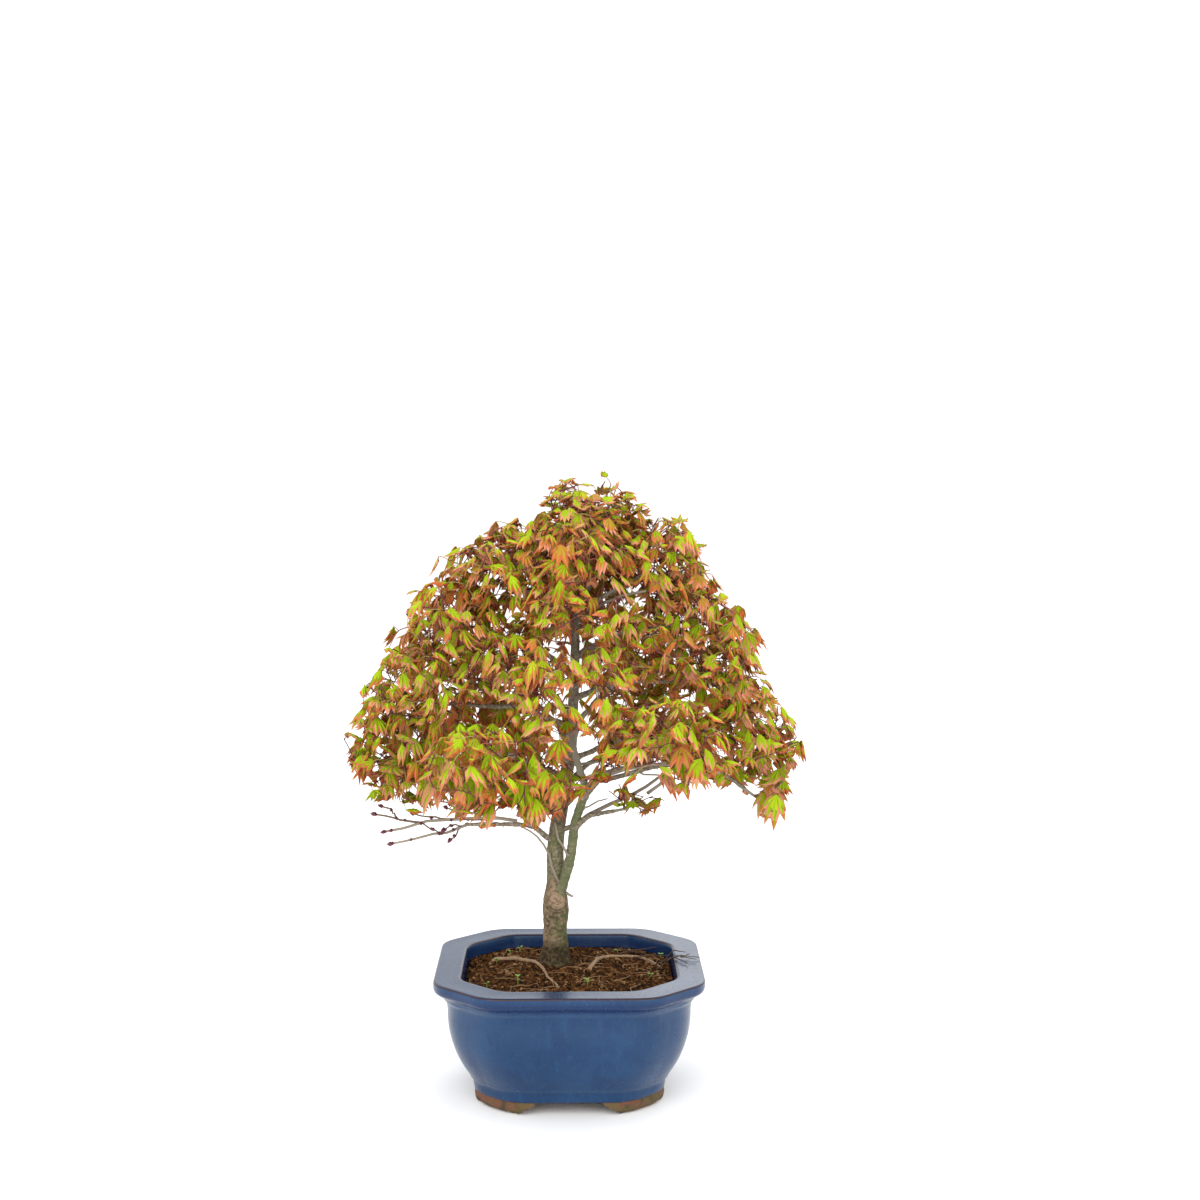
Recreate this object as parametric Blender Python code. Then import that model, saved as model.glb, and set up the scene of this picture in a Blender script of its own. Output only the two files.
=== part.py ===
"""A bonsai maple in a blue glazed pot, as one solid for each of its sub-parts.

Metres, +Z up, front towards -Y. The origin is the middle of the pot's underside, at the height of
its four feet. The pot is a square with cut corners, a wide flat rim and a curved body. The trunk
stands on the soil, bears a second stem low down and runs up through the crown. Each bough is one
tapering limb that leaves the skin of the limb that bears it and ends where it enters a mass of
foliage. Each mass is twigs and leaves grown by one seeded rule inside its own cell of the crown,
fused into one solid.
"""

import math
import random

import bmesh
import bpy
import numpy as np
from mathutils import Matrix, Vector
from mathutils.bvhtree import BVHTree
from mathutils.kdtree import KDTree

MM = 0.001
GAP = 0.3 * MM  # clearance between two solids that bear on each other
UP = Vector((0, 0, 1))

# Pot: half widths and heights, in millimetres
RIM_HALF = 76.5
RIM_BAND = (67.0, 71.8)  # heights of the rim's upright outer face
POT_TOP = 73.0
LEDGE = 15.5  # width of the flat rim
NECK = (69.0, 53.0)  # half width and height where the cove under the rim meets the body
WAIST = (55.2, 13.0)  # where the body's curve ends above the foot band
FOOT_HALF = 52.0
FOOT_HEIGHT = 7.0
FOOT_WIDTH = 13.0  # of the ring that the feet are left from
ARCH_HALF = (32.0, 19.0)  # half width of the arch between two feet, at the ground and at its top
WALL = 8.5
FLOOR_TOP = 14.5
DRAIN_RADIUS = 8.0
CORNER_SHARE = 0.39  # of the half width, cut off each corner
CORNER_ROUND = 8.0  # how far the rounding of a corner reaches along its sides
CORNER_STEPS = 2

# Soil, in millimetres
SOIL_EDGE = 64.0
SOIL_TOP = 67.0
SEAT_SHARE = 0.21  # size of the flat patch under the trunk, of the way to the pot's wall

# Limbs: x, y, z and radius at a few stations, in millimetres
TRUNK = (
    (-8.2, 20.0, SOIL_TOP, 7.0),
    (-8.0, 18.8, 87.0, 6.5),
    (-8.0, 17.8, 102.0, 7.5),
    (-8.1, 16.7, 116.0, 5.4),
    (-7.9, 15.4, 139.0, 4.8),
    (-4.1, 13.6, 165.0, 4.2),
    (1.2, 11.2, 201.0, 3.4),
    (3.4, 7.9, 253.0, 2.6),
    (2.8, 5.5, 283.0, 2.2),
    (2.0, -2.0, 298.0, 1.2),
)
SECOND_STEM = (
    (-6.4, 14.5, 108.0, 3.4),
    (0.6, 9.0, 132.0, 2.9),
    (3.4, 6.0, 153.0, 2.6),
    (9.0, 4.5, 172.0, 2.4),
    (6.0, -3.0, 186.0, 2.0),
    (2.0, -20.0, 204.0, 1.6),
    (0.3, -41.0, 221.0, 1.1),
)
FLARE_HEIGHT = 9.0  # how fast the root flare dies away up the trunk
FLARE = 0.3  # extra radius at the ground, as a share
FLARE_LOBES = 5
BOUGH_RADIUS = (2.0, 1.2)  # at the start and at the tip
ARCH = 0.07  # rise of a bough's middle over its chord, as a share of its length
WANDER = 1.1  # sideways kinks along a bough
ROOT_RADIUS = (1.5, 0.7)

# Crown: every mass keeps to a flattened ball, cut by flat planes where two of them meet
FLATTENING = 0.8
SPLIT = 0.4  # clearance of a mass from each such plane, in millimetres
ENTRY = 0.72  # how far out of its mass's centre a bough ends, of the way to the mass's edge
MASSES = {  # centre and radius, in millimetres
    "low_left": (-98, 4, 189, 40),
    "low_right": (100, 4, 201, 40),
    "low_front_left": (-44, -75, 192, 39),
    "low_front_right": (52, -73, 207, 38),
    "low_back_left": (-48, 72, 193, 38),
    "low_back_right": (50, 72, 199, 38),
    "mid_left": (-86, -10, 230, 38),
    "mid_right": (92, -4, 241, 37),
    "mid_front": (-2, -58, 236, 38),
    "mid_back_left": (-42, 56, 240, 37),
    "mid_back_right": (44, 56, 242, 37),
    "upper_left": (-70, 4, 270, 38),
    "upper_right": (76, 4, 276, 36),
    "upper_front": (4, -38, 278, 34),
    "upper_back": (2, 46, 280, 35),
    "shoulder_left": (-38, -2, 304, 35),
    "shoulder_right": (50, 0, 304, 35),
    "crown_front": (4, -24, 312, 31),
    "crown_back": (10, 28, 311, 31),
    "top": (13, 2, 332, 29),
    "hanging_right": (113, -14, 169, 21),
    "inner_right": (38, -12, 168, 21),
    "bare_left": (-82, -8, 156, 32),
}
BARE_MASSES = ("bare_left",)

# Boughs: the limb that bears each, the height it leaves at, its mass, and any point it goes by
BOUGHS = {
    "bare_left": ("trunk", 140, ((-26, 7, 151),)),
    "low_left": ("trunk", 179, ((-41, 6, 193),)),
    "low_right": ("trunk", 189, ((30, 12, 199),)),
    "low_front_left": ("trunk", 167, ()),
    "low_front_right": ("second_stem", 169, ()),
    "low_back_left": ("trunk", 161, ()),
    "low_back_right": ("trunk", 173, ()),
    "mid_left": ("trunk", 208, ()),
    "mid_right": ("trunk", 225, ()),
    "mid_back_left": ("trunk", 197, ()),
    "mid_back_right": ("trunk", 205, ()),
    "upper_left": ("trunk", 241, ()),
    "upper_right": ("trunk", 250, ()),
    "upper_front": ("trunk", 233, ()),
    "upper_back": ("trunk", 243, ()),
    "shoulder_left": ("trunk", 265, ()),
    "shoulder_right": ("trunk", 271, ()),
    "crown_back": ("trunk", 258, ()),
    "top": ("trunk", 276, ((12, 4, 291),)),
    "hanging_right": ("trunk", 159, ((10, 12.5, 172), (45, 2, 185), (80, -8, 187))),
    "inner_right": ("second_stem", 151, ()),
}
LIMB_ENDS = {"mid_front": "second_stem", "crown_front": "trunk"}  # masses that a limb's own tip bears

# Foliage
CROWDING = 0.0058  # sprays for each square millimetre of a mass's radius squared
FEWEST_SPRAYS = 5
END_SPREAD = 0.8  # of a mass's radius, within which its twigs end
END_LIFT = 0.2  # height of their middle over the mass's, of its half height
BARE_SPREAD = 0.4  # flatness of the bare twigs' spread beside that of the foliage
TWIG_RADIUS = (1.2, 0.65)  # at the stem and at the ends, in millimetres
TWIG_ROOT = 0.6  # a twig's radius at its root beside that of the twig that bears it
TWIG_TAPER = 0.9  # and at its end, beside that at its root
TWIG_LEAST = 8.0  # shortest twig worth growing
STEM_LENGTH = 12.0  # of the twig that a mass starts with, or STEM_SHARE of its radius if that is less
STEM_SHARE = 0.4
TWIG_FORWARD = 0.5  # how far a twig prefers a knot whose own twig points its way
COLLAR = 1.6  # length of a twig's collar, whose three sides bear a leaf each
INTERNODE = 13.0  # from collar to collar along a twig
KNOT_BACK = 5.0  # how far behind a collar the next twigs spring from it
TWIG_SUNK = 2.0  # length of a twig's start that may lie in the twig that bears it
LEAF_LENGTH = 28.0
LEAF_SHARE = 0.75  # most of its mass's radius that a leaf is long
LEAF_FORWARD = (0.1, 1.0)  # pull of the twig's direction on a leaf, least and most
LEAF_DROOP = (0.5, 1.5)  # pull downward on a leaf, least and most
TOP_DROOP = (-1.0, 0.2)  # the same in the top mass, where leaves stand up
LEAF_SWING = 0.15  # random part of a leaf's direction
LEAF_OUT = 0.3  # least share of a leaf's direction that leads away from its patch
LEAF_SIZES = (0.85, 1.1)
LEAF_TURN = 0.06  # how much less a leaf is pulled along its twig at each further turn
BUD_RADIUS = 1.5
SLIVER = 0.0002  # shortest distance allowed between two corners of a fused mass, in millimetres
GROWTHS = 12  # seeds that a mass is given before the script stops
TRIES = 20  # turns that a leaf or a twig is given before it is skipped
LEAF_SHRINK = 0.012  # how much smaller a leaf is at each further turn, as a share
LEAF_NECK = 0.12  # share of a leaf at its root that other pieces may cross
# A three-lobed leaf of length 1 along +X: side tip, notch, tip, notch, side tip
LEAF_RIM = (
    (0.5, -0.5, -0.2),
    (0.56, -0.24, -0.13),
    (1, 0, -0.16),
    (0.56, 0.24, -0.13),
    (0.5, 0.5, -0.2),
)

COLOURS = {  # base colour, roughness
    "glaze": ((0.07, 0.14, 0.33), 0.25),
    "soil": ((0.10, 0.05, 0.03), 0.95),
    "bark": ((0.24, 0.22, 0.16), 0.85),
    "foliage": ((0.40, 0.38, 0.07), 0.6),
    "buds": ((0.22, 0.07, 0.08), 0.6),
}


def clear_scene():
    for obj in list(bpy.data.objects):
        bpy.data.objects.remove(obj, do_unlink=True)


def new_collection(name):
    collection = bpy.data.collections.new(name)
    bpy.context.scene.collection.children.link(collection)
    return collection


def material(name):
    colour, roughness = COLOURS[name]
    made = bpy.data.materials.new(name)
    made.use_nodes = True
    shader = made.node_tree.nodes["Principled BSDF"]
    shader.inputs["Base Color"].default_value = (*colour, 1)
    shader.inputs["Roughness"].default_value = roughness
    return made


def add_object(name, mesh, collection, surface=None):
    obj = bpy.data.objects.new(name, mesh)
    collection.objects.link(obj)
    if surface:
        mesh.materials.clear()
        mesh.materials.append(surface)
    return obj


def applied(obj):
    """Replaces the object's mesh by its evaluated one and drops the modifiers."""
    graph = bpy.context.evaluated_depsgraph_get()
    mesh = bpy.data.meshes.new_from_object(obj.evaluated_get(graph))
    old = obj.data
    obj.modifiers.clear()
    obj.data = mesh
    bpy.data.meshes.remove(old)
    return obj


def remove_all(collection):
    """Removes a collection of helpers with the objects in it."""
    for obj in list(collection.objects):
        mesh = obj.data
        bpy.data.objects.remove(obj, do_unlink=True)
        bpy.data.meshes.remove(mesh)
    bpy.data.collections.remove(collection)


def carve(obj, cutters):
    """Cuts every object of the collection out of obj, and removes the cutters."""
    cut = obj.modifiers.new("Cut", "BOOLEAN")
    cut.operation = "DIFFERENCE"
    cut.operand_type = "COLLECTION"
    cut.collection = cutters
    cut.solver = "EXACT"
    applied(obj)
    remove_all(cutters)


def smooth(points, count):
    """A smooth curve through the points, as count samples: Catmull-Rom on any number of columns."""
    known = np.array(points, float)
    known = np.vstack([2 * known[0] - known[1], known, 2 * known[-1] - known[-2]])
    along = np.linspace(0, len(points) - 1, count)
    first = np.minimum(along.astype(int), len(points) - 2)
    t = (along - first)[:, None]
    a, b, c, d = (known[first + i] for i in range(4))
    return 0.5 * (2 * b + (c - a) * t + (2 * a - 5 * b + 4 * c - d) * t**2 + (3 * b - a - 3 * c + d) * t**3)


# ---------------------------------------------------------------- pot and soil


def cut_square(half, z):
    """A square of this half width with its corners cut and rounded, as points in order."""
    cut = half * CORNER_SHARE
    corners = []
    for turn in range(4):
        spin = Matrix.Rotation(turn * math.pi / 2, 3, "Z")
        corners += [spin @ Vector((half, half - cut, 0)), spin @ Vector((half - cut, half, 0))]
    points = []
    for i, corner in enumerate(corners):
        before = corner + (corners[i - 1] - corner).normalized() * CORNER_ROUND * half / RIM_HALF
        after = corner + (corners[(i + 1) % 8] - corner).normalized() * CORNER_ROUND * half / RIM_HALF
        for t in np.linspace(0, 1, CORNER_STEPS + 1):
            flat = before * (1 - t) ** 2 + corner * 2 * t * (1 - t) + after * t**2
            points.append(Vector((flat.x, flat.y, z)) * MM)
    return points


def loft(name, rings, collection, surface=None):
    """A closed solid through rings of equally many points, the first and last filled flat."""
    shape = bmesh.new()
    loops = [[shape.verts.new(point) for point in ring] for ring in rings]
    count = len(loops[0])
    for low, high in zip(loops, loops[1:]):
        for i in range(count):
            shape.faces.new((low[i], low[(i + 1) % count], high[(i + 1) % count], high[i]))
    shape.faces.new(loops[0][::-1])
    shape.faces.new(loops[-1])
    bmesh.ops.recalc_face_normals(shape, faces=shape.faces)
    mesh = bpy.data.meshes.new(name)
    shape.to_mesh(mesh)
    shape.free()
    return add_object(name, mesh, collection, surface)


def body_curve(steps):
    """The body from its waist up to its neck: it flattens upwards as a parabola does."""
    for t in np.linspace(0, 1, steps):
        yield NECK[0] - (NECK[0] - WAIST[0]) * (1 - t) ** 2.1, WAIST[1] + (NECK[1] - WAIST[1]) * t


def cove_curve(steps):
    """The hollow under the rim: a quarter of an ellipse from the neck out to the rim's lower edge."""
    reach = RIM_HALF - 1.2 - NECK[0]
    rise = RIM_BAND[0] - 1.4 - NECK[1]
    for angle in np.linspace(0, math.pi / 2, steps)[1:]:
        yield NECK[0] + reach * (1 - math.cos(angle)), NECK[1] + rise * math.sin(angle)


def inner_wall():
    """Half widths and heights down the inside, from under the rim's lip to the floor."""
    lip = RIM_HALF - LEDGE
    yield from ((lip - 0.6, POT_TOP - 1.5), (lip - 1.0, SOIL_EDGE))
    yield from ((NECK[0] - WALL - 1.0, NECK[1] - 8), (62.0 - WALL, 26.0), (WAIST[0] - WALL, FLOOR_TOP))


def make_pot(collection, surface):
    """Lofts the pot up its outside and down its inside, and cuts its feet and its drain hole."""
    outer = [(FOOT_HALF, 0), (FOOT_HALF + 1.4, 3), (FOOT_HALF + 2.2, 6), *body_curve(7), *cove_curve(4)]
    rim = [(RIM_HALF, RIM_BAND[0]), (RIM_HALF, RIM_BAND[1]), (RIM_HALF - 1.4, POT_TOP)]
    lip = [(RIM_HALF - LEDGE + 1.0, POT_TOP)]
    profile = [*outer, *rim, *lip, *inner_wall()]
    pot = loft("pot", [cut_square(half, z) for half, z in profile], collection, surface)

    cutters = new_collection("Pot cutters")
    below = -5.0
    hollow = FOOT_HALF - FOOT_WIDTH
    loft("Recess", [cut_square(hollow, z) for z in (below, FOOT_HEIGHT)], cutters)
    for turn in (0, math.pi / 2):
        spin = Matrix.Rotation(turn, 3, "Z")
        section = [(ARCH_HALF[0], below)]
        for t in np.linspace(0, 1, 5):
            half = ARCH_HALF[0] + (ARCH_HALF[1] - ARCH_HALF[0]) * t * t * (3 - 2 * t)
            section.append((half, FOOT_HEIGHT * t))
        section += [(-x, z) for x, z in reversed(section)]
        ends = [[spin @ Vector((x, y, z)) * MM for x, z in section] for y in (-RIM_HALF, RIM_HALF)]
        loft("Arch", ends, cutters)
    drill = bmesh.new()
    placed = Matrix.Translation((0, 0, FOOT_HEIGHT * MM))
    bmesh.ops.create_cone(drill, cap_ends=True, segments=16, radius1=DRAIN_RADIUS * MM,
                          radius2=DRAIN_RADIUS * MM, depth=4 * FOOT_HEIGHT * MM, matrix=placed)
    mesh = bpy.data.meshes.new("Drain")
    drill.to_mesh(mesh)
    drill.free()
    add_object("Drain", mesh, cutters)
    carve(pot, cutters)
    return pot


def make_soil(collection, surface):
    """Fills the pot a gap clear of it, and rises to a flat patch under the trunk."""
    gap = GAP / MM
    walls = [(half - gap - 0.15, max(z, FLOOR_TOP + gap)) for half, z in inner_wall()][:0:-1]
    rings = [cut_square(half, z) for half, z in walls]
    seat = Vector(TRUNK[0][:3]) * MM
    edge = rings[-1]
    for share in (0.95, 0.8, 0.6, 0.4, SEAT_SHARE):
        inward = (1 - share) / (1 - SEAT_SHARE)
        height = (SOIL_EDGE + (SOIL_TOP - gap - SOIL_EDGE) * math.sin(inward * math.pi / 2)) * MM
        rings.append([Vector((*(seat.xy.lerp(point.xy, share)), height)) for point in edge])
    return loft("soil", rings, collection, surface)


# ---------------------------------------------------------------- trunk, boughs and roots


def tube(name, stations, collection, surface, sides_step, grow=0.0):
    """A tapering tube with flat ends, as a mesh. A station is x, y, z and radius in millimetres."""
    curve = bpy.data.curves.new(name, "CURVE")
    curve.dimensions = "3D"
    curve.bevel_depth = 1.0
    curve.bevel_resolution = sides_step
    curve.use_fill_caps = True
    spline = curve.splines.new("POLY")
    spline.points.add(len(stations) - 1)
    for point, (x, y, z, radius) in zip(spline.points, stations):
        point.co = (x * MM, y * MM, z * MM, 1)
        point.radius = radius * MM + grow
    shape = bpy.data.objects.new(name, curve)
    collection.objects.link(shape)
    graph = bpy.context.evaluated_depsgraph_get()
    mesh = bpy.data.meshes.new_from_object(shape.evaluated_get(graph))
    bpy.data.objects.remove(shape, do_unlink=True)
    bpy.data.curves.remove(curve)
    welded = bmesh.new()
    welded.from_mesh(mesh)
    bmesh.ops.remove_doubles(welded, verts=welded.verts, dist=1e-6)
    bmesh.ops.recalc_face_normals(welded, faces=welded.faces)
    welded.to_mesh(mesh)
    welded.free()
    mesh.shade_smooth()
    return add_object(name, mesh, collection, surface)


def trunk_stations():
    """The trunk's stations, the first one below the ground, so that its foot can be cut flat."""
    path = smooth(TRUNK, 22)
    return [2 * path[0] - path[1], *path[1:]]


def flare_roots(obj):
    """Spreads the trunk's foot in lobes that die away upwards, and cuts it flat at the soil."""
    shape = bmesh.new()
    shape.from_mesh(obj.data)
    foot = Vector(TRUNK[0][:3]) * MM
    for vertex in shape.verts:
        out = (vertex.co - foot) * Vector((1, 1, 0))
        angle = math.atan2(out.y, out.x)
        lobes = 1 + 0.35 * math.cos(FLARE_LOBES * angle + 0.6)
        fade = math.exp(-max(0.0, vertex.co.z - foot.z) / (FLARE_HEIGHT * MM))
        vertex.co += out * FLARE * lobes * fade
    everything = [*shape.verts, *shape.edges, *shape.faces]
    bmesh.ops.bisect_plane(shape, geom=everything, plane_co=foot, plane_no=UP, clear_inner=True)
    rim = [edge for edge in shape.edges if edge.is_boundary]
    bmesh.ops.holes_fill(shape, edges=rim)
    bmesh.ops.recalc_face_normals(shape, faces=shape.faces)
    shape.to_mesh(obj.data)
    shape.free()


def at_height(stations, z):
    """The station of a limb at this height."""
    path = smooth(stations, 200)
    return path[np.abs(path[:, 2] - z).argmin()]


def bough_stations(name):
    """From the axis of the limb that bears it to the edge of its mass, with an arch and small kinks."""
    bearer, height, by = BOUGHS[name]
    start = at_height(TRUNK if bearer == "trunk" else SECOND_STEM, height)[:3]
    x, y, z, radius = MASSES[name]
    centre = np.array((x, y, z), float)
    back = (np.array(by[-1], float) if by else start) - centre
    tip = centre + back / np.linalg.norm(back / (1, 1, FLATTENING)) * radius * ENTRY
    if not by:
        lift = ARCH * np.linalg.norm(tip - start)
        by = (start * 0.55 + tip * 0.45 + (0, 0, lift),)
    path = smooth([start, *by, tip], 5 + len(by))
    taper = np.linspace(*BOUGH_RADIUS, len(path))
    rng = random.Random("bough " + name)
    kinks = np.array([[rng.uniform(-1, 1) * WANDER for _ in range(3)] for _ in path])
    kinks[:2] = kinks[-2:] = 0
    return np.column_stack([path + kinks, taper])


def make_limbs(collection, surface):
    """The trunk, the second stem and the boughs, each cut clear of the limb that bears it."""
    stations = {"trunk": trunk_stations(), "second_stem": smooth(SECOND_STEM, 12)}
    limbs = {"trunk": tube("trunk", stations["trunk"], collection, surface, 4)}
    flare_roots(limbs["trunk"])
    for name in ("second_stem", *BOUGHS):
        bearer = BOUGHS[name][0] if name in BOUGHS else "trunk"
        if name in BOUGHS:
            stations[name] = bough_stations(name)
        sides_step = 2 if name == "second_stem" else 1
        node = "bough_" + name if name in BOUGHS else name
        limbs[name] = tube(node, stations[name], collection, surface, sides_step)
        cutters = new_collection("Limb cutters")
        tube("Bearer", stations[bearer], cutters, None, 4, grow=GAP)
        carve(limbs[name], cutters)
    return limbs, stations


def make_roots(collection, surface, soil):
    """Two thin roots that lie on the soil."""
    routes = {
        "surface_root_left": ((-46, 28), (-30, 26), (-17, 8), (-12, -14), (-6, -30)),
        "surface_root_right": ((12, 5), (18, 26), (30, 33), (44, 30), (54, 12)),
    }
    ground = BVHTree.FromObject(soil, bpy.context.evaluated_depsgraph_get())
    for name, route in routes.items():
        path = smooth(route, 12)
        stations = []
        for (x, y), radius in zip(path, np.linspace(*ROOT_RADIUS, len(path))):
            hit = ground.ray_cast(Vector((x * MM, y * MM, 1)), -UP)[0]
            stations.append((x, y, hit.z / MM + radius + 0.45, radius))
        tube(name, stations, collection, surface, 1)


# ---------------------------------------------------------------- foliage


class Cell:
    """The space of one mass: a flattened ball, cut by a plane towards each neighbour."""

    def __init__(self, name):
        squash = np.array((1, 1, 1 / FLATTENING))
        self.centres = np.array([mass[:3] for mass in MASSES.values()], float) * squash
        self.radii = np.array([mass[3] for mass in MASSES.values()], float)
        self.squash = squash
        self.own = list(MASSES).index(name)
        self.radius = self.radii[self.own]
        self.centre = np.array(MASSES[name][:3], float)
        apart = np.linalg.norm(self.centres - self.centres[self.own], axis=1)
        self.margins = 2 * SPLIT * apart

    def holds(self, points):
        """Whether every point, in millimetres, is in this cell."""
        off = np.array(points)[:, None] * self.squash - self.centres
        power = (off**2).sum(2) - self.radii**2
        own = power[:, self.own : self.own + 1]
        return bool((own <= 0).all() and (power - own >= self.margins).all())

    def sample(self, rng, flat):
        """A random point of the flattened ball in which twigs end, made flatter still."""
        while True:
            point = np.array([rng.uniform(-1, 1) for _ in range(3)])
            if point @ point <= 1:
                lifted = point * END_SPREAD * (1, 1, flat) + (0, 0, END_LIFT)
                return Vector(self.centre + lifted * self.radius / self.squash)


class Surroundings:
    """The finished limbs, as one tree of triangles that twigs and leaves keep clear of."""

    CLEAR = 0.5

    def __init__(self, objects):
        points, faces = [], []
        for obj in objects:
            obj.data.calc_loop_triangles()
            first = len(points)
            points += [vertex.co / MM for vertex in obj.data.vertices]
            faces += [[first + i for i in face.vertices] for face in obj.data.loop_triangles]
        self.tree = BVHTree.FromPolygons(points, faces)

    def touches(self, points, tree):
        """Whether this shape crosses a limb or has a corner too near one."""
        near = (self.tree.find_nearest(point, self.CLEAR)[0] for point in points)
        return any(hit is not None for hit in near) or bool(tree.overlap(self.tree))


def triangle_ring(centre, along, radius):
    """Three points round a twig, with one side of the triangle facing down where the twig lies."""
    side = UP.cross(along) if abs(along.z) < 0.95 else along.orthogonal()
    side.normalize()
    other = along.cross(side)
    turns = (math.pi / 2, math.pi * 7 / 6, math.pi * 11 / 6)
    return [centre + (side * math.cos(turn) + other * math.sin(turn)) * radius for turn in turns]


def twig_shape(start, end, thick, thin):
    """A three-sided tapering prism with a short collar at its end and at each node before it.

    Returns its points, its faces, and its collars as three four-sided patches each, last one first.
    """
    reach = end - start
    length, along = reach.length, reach.normalized()
    nodes = 1 + max(0, int((length - TWIG_LEAST) / INTERNODE))
    stops = [length - i * INTERNODE - back for i in range(nodes) for back in (0, COLLAR)] + [0]
    points = []
    for stop in stops:
        points += triangle_ring(start + along * stop, along, thick + (thin - thick) * stop / length)
    first = len(points) - 3
    bands = []
    for i in range(0, first, 3):
        bands.append([(i + j, i + (j + 1) % 3, i + 3 + (j + 1) % 3, i + 3 + j) for j in range(3)])
    faces = [(0, 1, 2), (first + 2, first + 1, first), *sum(bands[1::2], [])]
    return points, faces, bands[::2]


def leaf_on(points, patch, along, heading, length):
    """A drooping three-lobed leaf that grows out of one four-sided patch of a twig's collar.

    It is a wedge folded along its midrib: as thick as the patch at its root, and sharp at its rim.
    The rim is added to the points. Returns the leaf's faces, and its blade without the root.
    """
    corners = [points[i] for i in patch]
    root = sum(corners, Vector()) / 4
    side = (along - heading * along.dot(heading)).normalized()
    up = heading.cross(side)
    if up.z < 0:
        up = -up
    low_front, high_front = sorted(patch[:2], key=lambda i: (points[i] - root).dot(up))
    low_back, high_back = sorted(patch[2:], key=lambda i: (points[i] - root).dot(up))
    first = len(points)
    rim = [root + (heading * x + side * y + up * z) * length for x, y, z in LEAF_RIM]
    points += rim
    left, left_notch, tip, right_notch, right = range(first, first + 5)
    faces = [(low_back, high_back, left), (low_front, right, high_front)]
    for back, front in ((high_back, high_front), (low_back, low_front)):
        faces += [(back, left, left_notch), (back, left_notch, tip), (back, tip, front)]
        faces += [(front, tip, right_notch), (front, right_notch, right)]
    high, low = ((points[a] + points[b]) / 2 for a, b in ((high_back, high_front), (low_back, low_front)))
    blade = [high.lerp(rim[2], LEAF_NECK), low.lerp(rim[2], LEAF_NECK), *rim]
    sides = [(0, 1, 2), (0, 6, 1)] + [(end, i, i + 1) for end in (0, 1) for i in range(2, 6)]
    return faces, (blade, sides)


def bud_shape(root, along):
    """A pointed bud of eight faces, twice as long as it is wide."""
    side = along.orthogonal().normalized()
    other = along.cross(side)
    middle = root + along * BUD_RADIUS
    points = [middle + spoke * BUD_RADIUS for spoke in (side, other, -side, -other)]
    points += [middle - 2 * along * BUD_RADIUS, middle + 2 * along * BUD_RADIUS]
    faces = [(i, (i + 1) % 4, 5) for i in range(4)] + [((i + 1) % 4, i, 4) for i in range(4)]
    return points, faces


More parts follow.
